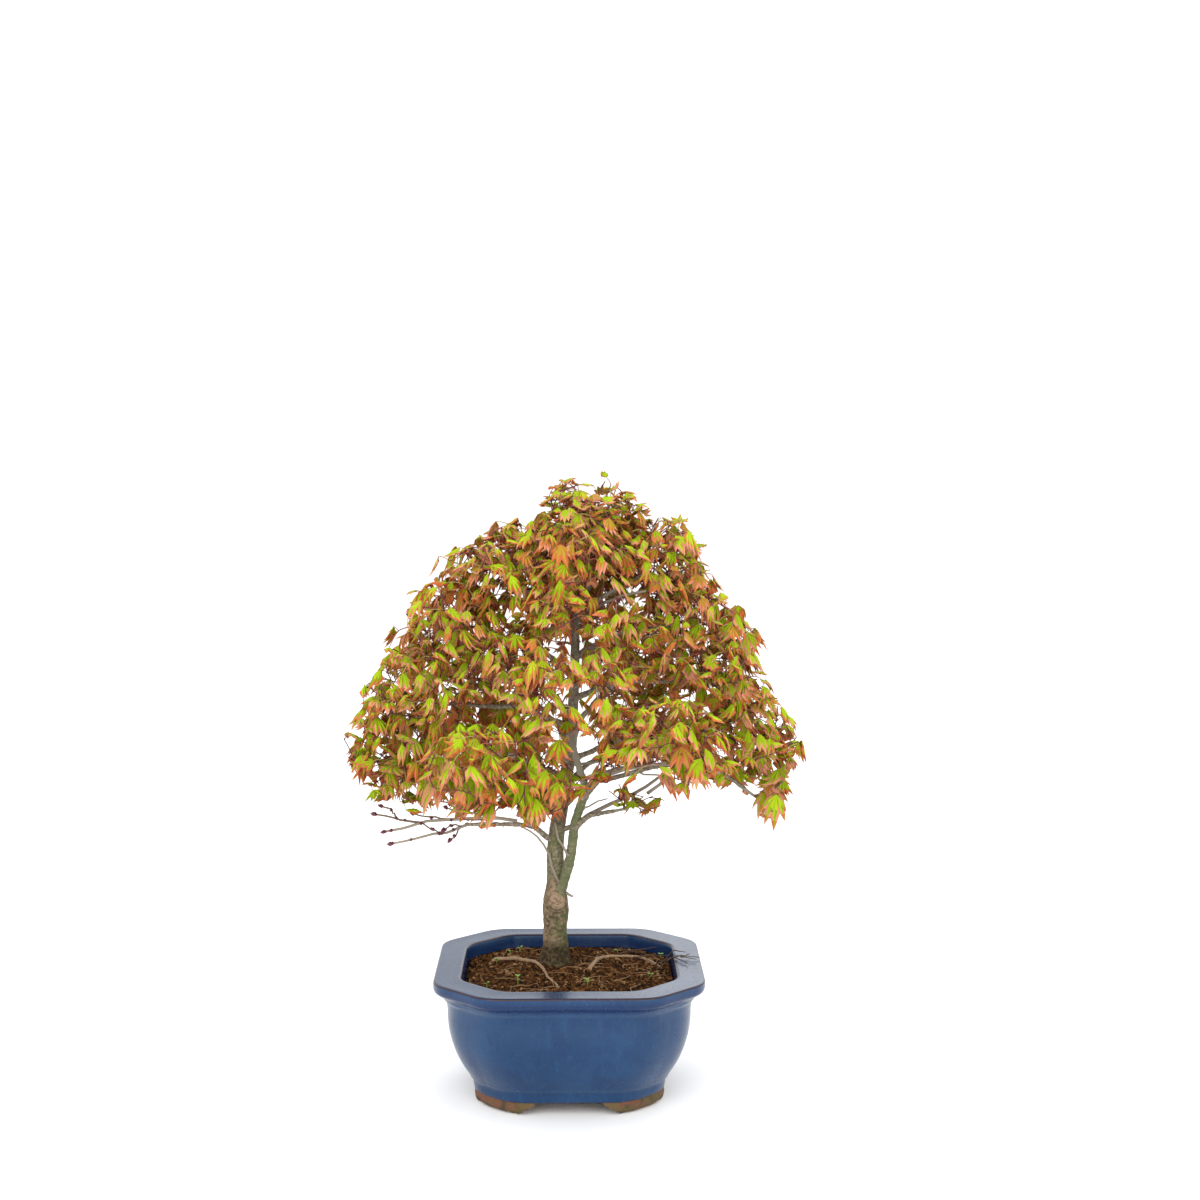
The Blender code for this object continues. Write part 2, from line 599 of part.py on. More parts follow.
class Mass:
    """One mass as it grows: its pieces so far, and the knots that the next twig may start from."""

    def __init__(self, name, growth, tip, heading, surroundings):
        self.rng = random.Random(f"{name} {growth}")
        self.cell = Cell(name)
        self.surroundings = surroundings
        self.bare = name in BARE_MASSES
        self.droop = TOP_DROOP if name == "top" else LEAF_DROOP
        self.length = min(LEAF_LENGTH, self.cell.radius * LEAF_SHARE)
        start = tip + heading * GAP / MM * 1.1
        knot = start + heading * min(STEM_SHARE * self.cell.radius, STEM_LENGTH)
        points, faces, collars = twig_shape(start, knot, TWIG_RADIUS[0], TWIG_RADIUS[0])
        self.pieces = [(points, sum(collars, faces))]
        self.knots = [(knot - heading, heading, TWIG_RADIUS[0])]
        self.trees = []

    def fits(self, points, faces, others):
        """Whether a new piece stays in the cell, off the limbs and off what has grown."""
        if not self.cell.holds(points):
            return False
        tree = BVHTree.FromPolygons(points, faces)
        return not (self.surroundings.touches(points, tree) or any(tree.overlap(other) for other in others))

    def grow(self):
        """Sprays to ends spread over the cell, nearest first, each from the nearest knot."""
        ends = self.spread_ends(max(FEWEST_SPRAYS, round(CROWDING * self.cell.radius**2)))
        ends.sort(key=lambda end: (end - self.knots[0][0]).length)
        for end in ends:
            for _ in range(TRIES):
                if self.add_spray(end):
                    break
                end = end + Vector([self.rng.gauss(0, 1) for _ in range(3)])
        return self.pieces

    def spread_ends(self, count):
        """Ends for the twigs, each the one of several random points that is furthest from the rest."""
        ends = []
        flat = BARE_SPREAD if self.bare else 1
        while len(ends) < count:
            tries = [self.cell.sample(self.rng, flat) for _ in range(TRIES)]
            tries = [point for point in tries if self.cell.holds([point])]
            gaps = [min(((point - end).length for end in ends), default=0) for point in tries]
            if tries:
                ends.append(tries[gaps.index(max(gaps))])
        return ends

    def detour(self, knot, end):
        """The distance from a knot, longer for a twig that would turn back on the knot's own."""
        reach = end - knot[0]
        return reach.length * (1 + TWIG_FORWARD) - TWIG_FORWARD * reach.dot(knot[1])

    def add_spray(self, end):
        """Adds a twig with its leaves, or its bud, unless it doesn't fit or its end would stay bare."""
        start, _, thick = min(self.knots, key=lambda knot: self.detour(knot, end))
        reach = end - start
        if reach.length < TWIG_LEAST:
            return False
        along = reach.normalized()
        thin = max(TWIG_RADIUS[1], thick * TWIG_ROOT * TWIG_TAPER)
        points, faces, collars = twig_shape(start, end, thick * TWIG_ROOT, thin)
        free, sides, rings = twig_shape(start + along * TWIG_SUNK, end, thin, thin)
        if not self.cell.holds(points) or not self.fits(free, sum(rings, sides), self.trees):
            return False
        fresh = [BVHTree.FromPolygons(free, sum(rings, sides))]
        if self.bare:
            bud = bud_shape(end, along)
            if not self.fits(*bud, self.trees):
                return False
            self.pieces += [(points, sum(collars, faces)), bud]
        else:
            for collar in collars:
                for patch in collar:
                    faces += self.leaf(points, patch, along, fresh)
                if len(fresh) == 1:
                    return False
            self.pieces.append((points, faces))
        self.trees += fresh
        for i in range(len(collars)):
            self.knots.append((end - along * (i * INTERNODE + KNOT_BACK), along, thin))
        return True

    def leaf(self, points, patch, along, fresh):
        """The faces of a leaf on this patch, turned until it fits, or of the bare patch."""
        corners = [points[i] for i in patch]
        middle = sum(corners, Vector()) / 4
        first = patch[0] - patch[0] % 3
        out = middle - sum(points[first : first + 6], Vector()) / 6
        out = (out - along * along.dot(out)).normalized()
        for attempt in range(TRIES):
            pull = self.rng.uniform(*LEAF_FORWARD) - LEAF_TURN * attempt
            heading = out + along * pull - UP * self.rng.uniform(*self.droop)
            heading = (heading + Vector([self.rng.gauss(0, LEAF_SWING) for _ in range(3)])).normalized()
            size = self.length * (self.rng.uniform(*LEAF_SIZES) - LEAF_SHRINK * attempt)
            if heading.dot(out) < LEAF_OUT:
                continue
            trial = list(points)
            faces, blade = leaf_on(trial, patch, along, heading, size)
            if self.fits(*blade, self.trees + fresh[1:]):
                points += trial[len(points) :]
                fresh.append(BVHTree.FromPolygons(*blade))
                return faces
        return [patch]


def fuse(name, pieces, collection, surface):
    """Joins the pieces of a mass into one solid, and keeps only its one outer skin."""
    parts = new_collection("Pieces")
    objects = []
    for i, (points, faces) in enumerate(pieces):
        mesh = bpy.data.meshes.new(f"{name} piece")
        mesh.from_pydata([point * MM for point in points], [], faces)
        face_outward(mesh)
        home = parts if i else collection
        objects.append(add_object(f"{name} piece", mesh, home))
    solid = objects[0]
    join = solid.modifiers.new("Join", "BOOLEAN")
    join.operation = "UNION"
    join.operand_type = "COLLECTION"
    join.collection = parts
    join.solver = "MANIFOLD"
    applied(solid)
    remove_all(parts)
    solid.name = "foliage_" + name if name not in BARE_MASSES else "twigs_" + name
    solid.data.materials.clear()
    solid.data.materials.append(surface)
    keep_largest(solid.data)
    return solid


def face_outward(mesh):
    """Turns the faces of a closed piece outward."""
    shape = bmesh.new()
    shape.from_mesh(mesh)
    bmesh.ops.recalc_face_normals(shape, faces=shape.faces)
    shape.to_mesh(mesh)
    shape.free()


def keep_largest(mesh):
    """Drops loose scraps and the skins of sealed hollows, which fills them."""
    shape = bmesh.new()
    shape.from_mesh(mesh)
    left = set(shape.faces)
    islands = []
    while left:
        island, edge = set(), [left.pop()]
        while edge:
            face = edge.pop()
            island.add(face)
            fresh = {other for side in face.edges for other in side.link_faces if other in left}
            left -= fresh
            edge += fresh
        islands.append(island)
    islands.sort(key=len)
    dropped = [face for island in islands[:-1] for face in island]
    bmesh.ops.delete(shape, geom=dropped, context="FACES")
    shape.to_mesh(mesh)
    shape.free()


def has_slivers(mesh):
    """Whether two corners of the mesh lie so near each other that a face between them has no area."""
    tree = KDTree(len(mesh.vertices))
    for vertex in mesh.vertices:
        tree.insert(vertex.co, vertex.index)
    tree.balance()
    return any(tree.find_n(vertex.co, 2)[1][2] < SLIVER * MM for vertex in mesh.vertices)


def grow_mass(name, path, surroundings, collection, surface):
    """The mass at the tip of a limb, grown anew from the next seed while it has slivers."""
    tip, before = Vector(path[-1][:3]), Vector(path[-2][:3])
    heading = (tip - before).normalized()
    for growth in range(GROWTHS):
        pieces = Mass(name, growth, tip, heading, surroundings).grow()
        solid = fuse(name, pieces, collection, surface)
        if not has_slivers(solid.data):
            return solid
        mesh = solid.data
        bpy.data.objects.remove(solid, do_unlink=True)
        bpy.data.meshes.remove(mesh)
    raise RuntimeError(f"{name} kept its slivers through {GROWTHS} growths")


def main():
    clear_scene()
    surfaces = {name: material(name) for name in COLOURS}
    plant = new_collection("Bonsai maple")
    make_pot(plant, surfaces["glaze"])
    soil = make_soil(plant, surfaces["soil"])
    make_roots(plant, surfaces["bark"], soil)
    limbs, stations = make_limbs(plant, surfaces["bark"])
    surroundings = Surroundings(limbs.values())
    for name in MASSES:
        path = stations[LIMB_ENDS.get(name, name)]
        kind = "buds" if name in BARE_MASSES else "foliage"
        grow_mass(name, path, surroundings, plant, surfaces[kind])


main()
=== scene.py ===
"""A bonsai maple in a blue glazed pot, dressed in full detail over its solids.

The file is laid out as a Blender add-on and is run as a script. Metres, +Z up, front towards -Y.
Sizes below are in millimetres and become metres where a mesh is made. The pot is one closed lofted
skin with four bare clay feet. The soil is a bed under thousands of granules. The trunk, the second
stem and the boughs are tubes with the bark's relief. Twigs, leaf stalks, leaves and buds grow on
from the boughs' tips by the same seeded rule as the solids, with more and finer twigs.
"""

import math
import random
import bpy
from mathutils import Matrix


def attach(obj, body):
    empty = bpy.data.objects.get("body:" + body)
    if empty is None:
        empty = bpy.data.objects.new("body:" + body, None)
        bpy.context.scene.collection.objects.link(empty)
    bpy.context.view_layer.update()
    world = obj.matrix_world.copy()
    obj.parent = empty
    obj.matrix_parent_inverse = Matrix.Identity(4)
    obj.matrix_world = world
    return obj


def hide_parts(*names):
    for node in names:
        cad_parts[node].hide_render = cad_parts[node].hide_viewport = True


bl_info = {
    "name": "Bonsai maple",
    "version": (1, 0, 0),
    "blender": (4, 5, 0),
    "location": "3D View > Sidebar > Maple",
    "description": "A small maple with young leaves, trained in a blue glazed pot",
    "category": "Object",
}

import bpy
import numpy as np
from bpy.props import FloatProperty, FloatVectorProperty, IntProperty, PointerProperty
from mathutils import Vector

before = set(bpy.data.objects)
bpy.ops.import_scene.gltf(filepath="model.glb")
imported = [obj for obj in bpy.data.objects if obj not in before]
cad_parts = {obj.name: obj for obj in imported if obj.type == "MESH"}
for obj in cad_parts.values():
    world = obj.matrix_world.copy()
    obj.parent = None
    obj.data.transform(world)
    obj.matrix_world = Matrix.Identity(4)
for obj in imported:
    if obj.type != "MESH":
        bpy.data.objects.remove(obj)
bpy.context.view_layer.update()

MM = 0.001
UP = np.array((0.0, 0.0, 1.0))
TURN = 2 * math.pi
NODES = list(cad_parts)

# Pot: half widths and heights, in millimetres, as in the solids
RIM_HALF = 76.5
RIM_BAND = (67.0, 71.8)
POT_TOP = 73.0
LEDGE = 15.5
NECK = (69.0, 53.0)
WAIST = (55.2, 13.0)
FOOT_HALF = 52.0
FOOT_HEIGHT = 7.0
FOOT_WIDTH = 13.0
ARCH_HALF = (29.0, 19.0)
WALL = 8.5
FLOOR_TOP = 14.5
DRAIN_RADIUS = 8.0
CORNER_SHARE = 0.39
CORNER_ROUND = (9.5, 17.0)  # reach of the corners' rounding at the rim and on the body

# Soil
SOIL_EDGE = 64.0
SOIL_TOP = 67.0
SEAT_SHARE = 0.21
SOIL_HALF = RIM_HALF - LEDGE - 1.45
SEAT = np.array((-8.2, 20.0))

# Limbs: x, y, z and radius at a few stations
TRUNK = (
    (-8.2, 20.0, SOIL_TOP, 7.0),
    (-8.0, 18.8, 87.0, 6.5),
    (-8.0, 17.8, 102.0, 7.5),
    (-8.1, 16.7, 116.0, 5.4),
    (-7.9, 15.4, 139.0, 4.8),
    (-4.1, 13.6, 165.0, 4.2),
    (1.2, 11.2, 201.0, 3.4),
    (3.4, 7.9, 253.0, 2.6),
    (2.8, 5.5, 283.0, 2.2),
    (2.0, -2.0, 298.0, 1.2),
)
SECOND_STEM = (
    (-6.4, 14.5, 108.0, 3.4),
    (0.6, 9.0, 132.0, 2.9),
    (3.4, 6.0, 153.0, 2.6),
    (9.0, 4.5, 172.0, 2.4),
    (6.0, -3.0, 186.0, 2.0),
    (2.0, -20.0, 204.0, 1.6),
    (0.3, -41.0, 221.0, 1.1),
)
FLARE_HEIGHT = 9.0
FLARE = 0.3
FLARE_LOBES = 5
BOUGH_RADIUS = (2.0, 1.2)
ARCH = 0.07
WANDER = 1.1
ROOT_RADIUS = (1.5, 0.7)
SURFACE_ROOTS = {
    "surface_root_left": ((-46, 28), (-30, 26), (-17, 8), (-12, -14), (-6, -30)),
    "surface_root_right": ((12, 5), (18, 26), (30, 33), (44, 30), (54, 12)),
}

# Crown: every mass keeps to a flattened ball: centre and radius
FLATTENING = 0.8
ENTRY = 0.72
MASSES = {
    "low_left": (-98, 4, 189, 40),
    "low_right": (100, 4, 201, 40),
    "low_front_left": (-44, -75, 192, 39),
    "low_front_right": (52, -73, 207, 38),
    "low_back_left": (-48, 72, 193, 38),
    "low_back_right": (50, 72, 199, 38),
    "mid_left": (-86, -10, 230, 38),
    "mid_right": (92, -4, 241, 37),
    "mid_front": (-2, -58, 236, 38),
    "mid_back_left": (-42, 56, 240, 37),
    "mid_back_right": (44, 56, 242, 37),
    "upper_left": (-70, 4, 270, 38),
    "upper_right": (76, 4, 276, 36),
    "upper_front": (4, -38, 278, 34),
    "upper_back": (2, 46, 280, 35),
    "shoulder_left": (-38, -2, 304, 35),
    "shoulder_right": (50, 0, 304, 35),
    "crown_front": (4, -24, 312, 31),
    "crown_back": (10, 28, 311, 31),
    "top": (13, 2, 332, 29),
    "hanging_right": (113, -14, 169, 21),
    "inner_right": (38, -12, 168, 21),
    "bare_left": (-82, -8, 156, 32),
}
BARE_MASSES = ("bare_left",)  # its twigs are given one by one in BARE_TWIGS
BOUGHS = {
    "bare_left": ("trunk", 140, ((-26, 7, 151),)),
    "low_left": ("trunk", 179, ((-41, 6, 193),)),
    "low_right": ("trunk", 189, ((30, 12, 199),)),
    "low_front_left": ("trunk", 167, ()),
    "low_front_right": ("second_stem", 169, ()),
    "low_back_left": ("trunk", 161, ()),
    "low_back_right": ("trunk", 173, ()),
    "mid_left": ("trunk", 208, ()),
    "mid_right": ("trunk", 225, ()),
    "mid_back_left": ("trunk", 197, ()),
    "mid_back_right": ("trunk", 205, ()),
    "upper_left": ("trunk", 241, ()),
    "upper_right": ("trunk", 250, ()),
    "upper_front": ("trunk", 233, ()),
    "upper_back": ("trunk", 243, ()),
    "shoulder_left": ("trunk", 265, ()),
    "shoulder_right": ("trunk", 271, ()),
    "crown_back": ("trunk", 258, ()),
    "top": ("trunk", 276, ((12, 4, 291),)),
    "hanging_right": ("trunk", 159, ((10, 12.5, 172), (45, 2, 185), (80, -8, 187))),
    "inner_right": ("second_stem", 151, ()),
}
LIMB_ENDS = {  # the limb that a mass grows from, where no bough has the mass's own name
    "mid_front": "second_stem",
    "crown_front": "trunk",
    "curtain_left": "low_front_left",
    "curtain_right": "low_front_right",
    "peak_left": "top",
    "peak_right": "top",
    "fill_left": "mid_left",
    "fill_right": "mid_right",
}
CURTAINS = {  # small masses: in front of the trunk, the two peaks, and between the larger ones
    "curtain_left": (-10, -60, 186, 24),
    "curtain_right": (20, -52, 198, 21),
    "peak_left": (3, -2, 338, 18),
    "peak_right": (26, 0, 339, 18),
    "fill_left": (-38, -26, 246, 25),
    "fill_right": (44, -26, 256, 24),
}

SHOOTS = (  # bare shoots: the radius at the two ends, and the route in between
    ((0.85, 0.5), (-5.7, 10.5, 115.9), (-9.8, 9, 126.5), (-13, 9, 137), (-20, 7, 146),
     (-27, 4, 151)),
    ((0.9, 0.6), (1.5, 8, 133.7), (-1.1, 6, 135), (-5.7, 7, 142.3), (-8.3, 8, 152.8)),
    ((1.7, 0.9), (-6, 14, 147), (4.3, 12, 151), (10.6, 11, 156), (26.6, 6, 165), (41, 2, 173),
     (52, 0, 181)),
    ((0.7, 0.4), (7, 5, 160), (10, 4, 162.5), (16, 3, 166), (22, 2, 168)),
    ((0.9, 0.6), (-1.5, 10, 110.9), (0.6, 9, 110), (2.2, 8.5, 109.4)),
    ((1.2, 0.7), (5, 2, 172), (10, 0, 176), (18, -4, 181), (34, -8, 186.7), (52, -11, 190.8),
     (75, -14, 192)),
    ((0.85, 0.5), (3, 1, 188), (10, -3, 189.6), (20, -6, 192), (31, -9, 193), (44, -11, 190.5),
     (60, -12, 190)),
    ((0.7, 0.5), (32, -8, 186), (40, -9, 184.6), (49, -10, 184), (58, -10, 183)),
    ((1.15, 0.8), (45, -3, 172), (51, -5, 177), (57, -7, 184), (66, -9, 191), (76, -12, 197)),
    ((0.65, 0.45), (10, -2, 175.5), (15.5, -5, 184), (23, -8, 190), (30, -10, 200)),
    ((1.8, 1.1), (2, -3, 199), (6, -8, 214), (16, -14, 227), (27, -18, 239)),
    ((1.4, 0.9), (5, -4, 252), (12, -10, 258), (25, -18, 265), (41, -22, 267)),
    ((1.4, 0.8), (5, -3, 276), (-2, -9, 288), (-11, -13, 299), (-18, -16, 308)),
    ((1.5, 0.8), (8, -4, 276), (16, -9, 282), (27, -13, 291), (42, -16, 299)),
    ((1.1, 0.7), (9, -4, 274), (18, -11, 281.5), (29, -15, 287), (43, -20, 290)),
)

BARE_TWIGS = (  # the leafless twigs at the end of the lowest left bough, in the same form
    ((1.15, 0.7), (-30, 3, 155), (-46, 1, 157.3), (-67, -4, 157.2), (-84, -7, 156),
     (-101, -10, 152.6), (-105, -11, 151.8)),
    ((1.0, 0.62), (-58, -2, 154), (-66, -3, 151.5), (-73.7, -5, 149.6), (-90, -7, 146.4),
     (-101, -8, 144.3)),
    ((0.8, 0.55), (-84, -7, 156), (-93, -9, 157.8), (-98, -10, 159.2), (-110, -12, 161.9)),
    ((0.65, 0.5), (-98, -10, 159.2), (-101, -9, 163.6), (-107, -8, 165.7)),
    ((0.62, 0.46), (-67, -4, 157.2), (-78, -6, 158.6), (-89, -4, 160.6)),
    ((0.52, 0.45), (-62, -3, 153), (-67, -6, 154.4), (-71, -8, 152.3)),
    ((0.52, 0.45), (-62.5, -2, 152), (-65.4, -3, 148), (-68, -4, 145.6)),
    ((0.62, 0.46), (-58, -1, 156), (-62, -4, 160.5), (-70, -6, 164.3)),
    ((0.52, 0.45), (-62, -4, 160.5), (-68, -2, 165.5), (-75, -3, 168)),
    ((0.52, 0.45), (-84, -7, 155.8), (-79, -9, 153), (-74, -5, 149.8)),
)

# Twigs, leaves and buds
END_SPREAD = 0.85  # of a mass's radius, within which its twigs end
END_LIFT = 0.12  # how much higher than the mass's middle they end, as a share of its radius
END_DEPTH = 3.0  # the least depth in the crown of a twig's end
END_ABOVE_HEM = 4.0
OVERLAP = 60  # how far a twig's end may lie in a neighbour's ball, in square millimetres
FEWEST_SPRAYS = 12
HANGING_SPRAYS = 4  # the few long ones that hang on the right
TRIES = 56  # random points from which each twig's end is chosen
TWIG_STATIONS = 8
TWIG_RADIUS = (1.0, 0.36)  # the first and the least
TWIG_ROOT = 0.72  # a twig's radius as a share of its bearer's
TWIG_TAPER = 0.8
TWIG_LEAST = 7.0  # length of the shortest twig
TWIG_FORWARD = 0.6  # how much a detour from the bearer's heading counts
TWIG_BEND = 0.45  # how far a twig sets out along the twig that bears it
INTERNODE = 9.5
KNOT_BACK = 2.5  # how far behind its leaves the next twig may spring
STEM_LENGTH = 12.0
STEM_SHARE = 0.4  # the first twig's length as a share of the mass's radius
LEAF_REACH = 3.0  # how far a leaf may stand out of the flattened balls
RAGGED = (-8.0, 4.0)  # depths in the outline where a spray's leaves end; less than 0 is outside
STRAY_SHARE = 0.06  # of the leaves that stand out of their spray's outline, how many stay
TOP_SHARE = 0.9  # how much closer the sprays stand at the top
TOP_RISE = (285, 325)  # heights between which they come closer
LIMB_CLEAR = 2.0  # between a leaf and a limb's bark
PAIR_ODDS = (0.97, 0.78)  # how many leaves stay at a twig's tip, and along it
INNER_LOSS = 0.3  # of the leaves deep in the crown, how many are missing
STALK_RADIUS = 0.3


# ---------------------------------------------------------------- settings


def colour_setting(name, description, default):
    """A colour that a user may change."""
    return FloatVectorProperty(name=name, description=description, default=default,
                               min=0, max=1, subtype="COLOR")


class MaplePot(bpy.types.PropertyGroup):
    """The glazed pot."""

    step: FloatProperty(name="Mesh step", description="Largest step of the pot's skin",
                        default=1.7 * MM, min=0.5 * MM, unit="LENGTH")
    wobble: FloatProperty(name="Hand-made wobble", description="Unevenness of the thrown clay",
                          default=0.22 * MM, min=0, unit="LENGTH")
    glaze: colour_setting("Glaze", "Main blue of the glaze", (0.0030, 0.0295, 0.090))
    # Also the blue of the painted shade in the cove under the rim
    glaze_deep_and_shade: colour_setting("Deep glaze", "Blue where the glaze lies thick",
                               (0.001, 0.015, 0.070))
    glaze_thin: colour_setting("Thin glaze", "Grey blue where the glaze is thin",
                               (0.007, 0.041, 0.113))
    break_brown: colour_setting("Break", "Brown where the glaze breaks over an edge",
                                (0.035, 0.013, 0.010))
    clay: colour_setting("Clay", "Bare fired clay", (0.17, 0.062, 0.028))
    stain: colour_setting("Stain", "Dark algae on the clay feet", (0.032, 0.030, 0.010))


class MapleSoil(bpy.types.PropertyGroup):
    """The soil and what lies on it."""

    granules: IntProperty(name="Granules", description="Number of soil granules",
                          default=6500, min=0)
    size: FloatProperty(name="Granule size", description="Mean width of a granule",
                        default=1.9 * MM, min=0.2 * MM, unit="LENGTH")
    brown: colour_setting("Soil", "Main brown of the soil", (0.070, 0.029, 0.009))
    rootlets: IntProperty(name="Rootlets", description="Number of fine tan roots",
                          default=80, min=0)


class MapleBark(bpy.types.PropertyGroup):
    """The bark of trunk, second stem and boughs."""

    relief: FloatProperty(name="Relief", description="Depth of the bark's relief low on the trunk",
                          default=0.5 * MM, min=0, unit="LENGTH")
    grey: colour_setting("Grey bark", "Main colour of the young bark", (0.2, 0.178, 0.102))
    tan: colour_setting("Tan bark", "Flaking bark of the graft", (0.29, 0.205, 0.13))
    algae: colour_setting("Algae", "Green film on the trunk", (0.095, 0.125, 0.042))


class MapleCrown(bpy.types.PropertyGroup):
    """Twigs, leaves and buds."""

    sprays: FloatProperty(name="Sprays",
                          description="Twigs per square centimetre of a squared radius",
                          default=6.3, min=0.1)
    leaf: FloatProperty(name="Leaf length", description="Length of a large leaf's middle lobe",
                        default=18.5 * MM, min=3 * MM, unit="LENGTH")
    stalk: FloatProperty(name="Stalk length", description="Mean length of a leaf's stalk",
                         default=8 * MM, min=0, unit="LENGTH")
    rust: FloatProperty(name="Rust",
                        description="Share of the leaves with wide rust-coloured margins",
                        default=0.5, min=0, max=1, subtype="FACTOR")


class MapleStage(bpy.types.PropertyGroup):
    """Floor, lights and camera."""

    floor: colour_setting("Floor", "Colour of the pale floor", (0.98, 0.98, 0.98))
    sky: FloatProperty(name="Room light", description="Brightness of the light from all round",
                       default=1.25, min=0)
    key: FloatProperty(name="Key light", description="Strength of the large front light",
                       default=13.5, min=0, unit="POWER")
    distance: FloatProperty(name="Camera distance",
                            description="How far the camera stands from the pot",
                            default=1.1, min=0.1, unit="LENGTH")


# ---------------------------------------------------------------- mesh tools


def unit(vectors):
    """Vectors scaled to length 1."""
    return vectors / np.maximum(np.linalg.norm(vectors, axis=-1, keepdims=True), 1e-9)


def blend(value, low, high):
    """0 below low, 1 above high, and 3t² - 2t³ between them."""
    t = np.clip((value - low) / (high - low), 0, 1)
    return t * t * (3 - 2 * t)


def bump(value, middle, width):
    """A bell curve: e to the minus the square of the distance over the width."""
    return np.exp(-(((value - middle) / width) ** 2))


def grain(points, size, seed=0):
    """Smooth random values from -1 to 1 in space.

    The corners of cubes of this size have random values, made from their whole-numbered places. A
    point mixes the values of its cube's eight corners by the weights 3t² - 2t³ along each axis.
    """
    place = np.asarray(points, float) / size + 1000.0
    base = np.floor(place).astype(np.int64)
    t = place - base
    t = t * t * (3 - 2 * t)
    total = np.zeros(place.shape[:-1])
    for corner in np.ndindex(2, 2, 2):
        cell = base + np.array(corner)
        mixed = cell[..., 0] * 73856093 ^ cell[..., 1] * 19349663 ^ cell[..., 2] * 83492791
        mixed = (mixed + seed * 6542989) & 0xFFFFFFFF
        mixed = ((mixed ^ mixed >> 15) * 2246822519) & 0xFFFFFFFF
        mixed = ((mixed ^ mixed >> 13) * 3266489917) & 0xFFFFFFFF
        value = (mixed >> 8 & 0xFFFF) / 32767.5 - 1
        total += value * np.where(corner, t, 1 - t).prod(-1)
    return total


def rough_grain(points, size, seed=0, layers=3):
    """Layers of grain, each half as large and half as strong as the one before."""
    return sum(grain(points, size / 2**i, seed + i) / 2**i for i in range(layers))


def smooth(points, count):
    """A smooth curve through the points, as count samples: Catmull-Rom on any number of columns."""
    known = np.array(points, float)
    known = np.vstack([2 * known[0] - known[1], known, 2 * known[-1] - known[-2]])
    along = np.linspace(0, len(points) - 1, count)
    first = np.minimum(along.astype(int), len(points) - 2)
    t = (along - first)[:, None]
    a, b, c, d = (known[first + i] for i in range(4))
    square = (2 * a - 5 * b + 4 * c - d) * t**2
    return 0.5 * (2 * b + (c - a) * t + square + (3 * b - a - 3 * c + d) * t**3)


def lengths_along(path):
    """The length of the path from its start to each of its points."""
    steps = np.linalg.norm(np.diff(path, axis=0), axis=1)
    return np.concatenate([[0], np.cumsum(steps)])


def corner_curve(before, corner, after):
    """Eight points on the parabola that leaves before and meets after along the two sides."""
    t = np.linspace(0, 1, 8)[:, None]
    return before * (1 - t) ** 2 + corner * 2 * t * (1 - t) + after * t**2


def quarter_turn(turn):
    """Cosine and sine of this many quarter turns, as whole numbers."""
    return round(math.cos(turn * math.pi / 2)), round(math.sin(turn * math.pi / 2))


def grid_faces(rows, columns, round_rows=False, round_columns=True):
    """The four-sided faces of a grid whose point j of row i has the number i * columns + j."""
    i = np.arange(rows if round_rows else rows - 1)[:, None]
    j = np.arange(columns if round_columns else columns - 1)[None]
    over = (i + 1) % rows
    right = (j + 1) % columns
    corners = (i * columns + j, i * columns + right, over * columns + right, over * columns + j)
    return np.stack(np.broadcast_arrays(*corners), -1).reshape(-1, 4)


def repeated(faces, copies, step):
    """The faces of one shape for each of its copies, whose points follow one another."""
    return (faces[None] + (np.arange(copies) * step)[:, None, None]).reshape(-1, faces.shape[1])


def add_piece(name, points, faces, surfaces, slot, nodes, finish=None, smooth_shading=True,
              **values):
    """A piece of the plant from points in millimetres and arrays of faces.

    finish gives the number of each face's surface, array by array, and values holds attributes by
    name, each with its value at every point. A piece without a slot is part of the stage.
    """
    mesh = bpy.data.meshes.new(name)
    points = np.asarray(points, float).reshape(-1, 3) * MM
    faces = [np.asarray(part) for part in faces if len(part)]
    sides = np.concatenate([np.full(len(part), part.shape[1]) for part in faces])
    mesh.vertices.add(len(points))
    mesh.vertices.foreach_set("co", points.astype(np.float32).ravel())
    mesh.loops.add(int(sides.sum()))
    order = np.concatenate([part.ravel() for part in faces])
    mesh.loops.foreach_set("vertex_index", order.astype(np.int32))
    mesh.polygons.add(len(sides))
    mesh.polygons.foreach_set("loop_start", (np.cumsum(sides) - sides).astype(np.int32))
    if finish is not None:
        mesh.polygons.foreach_set("material_index", np.concatenate(finish).astype(np.int32))
    mesh.polygons.foreach_set("use_smooth", np.full(len(sides), smooth_shading))
    for surface in surfaces:
        mesh.materials.append(surface)
    for key, value in values.items():
        attribute = mesh.attributes.new(key, "FLOAT", "POINT")
        attribute.data.foreach_set("value", np.asarray(value, float).ravel().astype(np.float32))
    mesh.update(calc_edges=True)
    mesh.validate()
    piece = bpy.data.objects.new(name, mesh)
    bpy.context.scene.collection.objects.link(piece)
    if slot:
        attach(piece, "root")
        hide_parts(*nodes)
    return piece


def tube_rings(paths, radii, sides):
    """The rings of many tubes at once, and the outward direction of each of their points.

    paths is (tube, station, xyz). Each ring lies across its path. Its first side vector is the
    path's direction crossed with one fixed vector of that tube, so no ring is turned on the next.
    A point is the station plus the radius times (cos a, sin a) in that ring.
    """
    along = unit(np.gradient(paths, axis=1))
    chord = unit(paths[:, -1] - paths[:, 0])
    helper = np.where(np.abs(chord[:, 1:2]) < 0.8, [[0.0, 1.0, 0.0]], [[1.0, 0.0, 0.0]])
    helper = unit(np.cross(chord, helper))
    side = unit(np.cross(along, helper[:, None]))
    other = np.cross(along, side)
    angle = np.arange(sides) * TURN / sides
    out = side[:, :, None] * np.cos(angle)[:, None] + other[:, :, None] * np.sin(angle)[:, None]
    return paths[:, :, None] + radii[:, :, None, None] * out, out


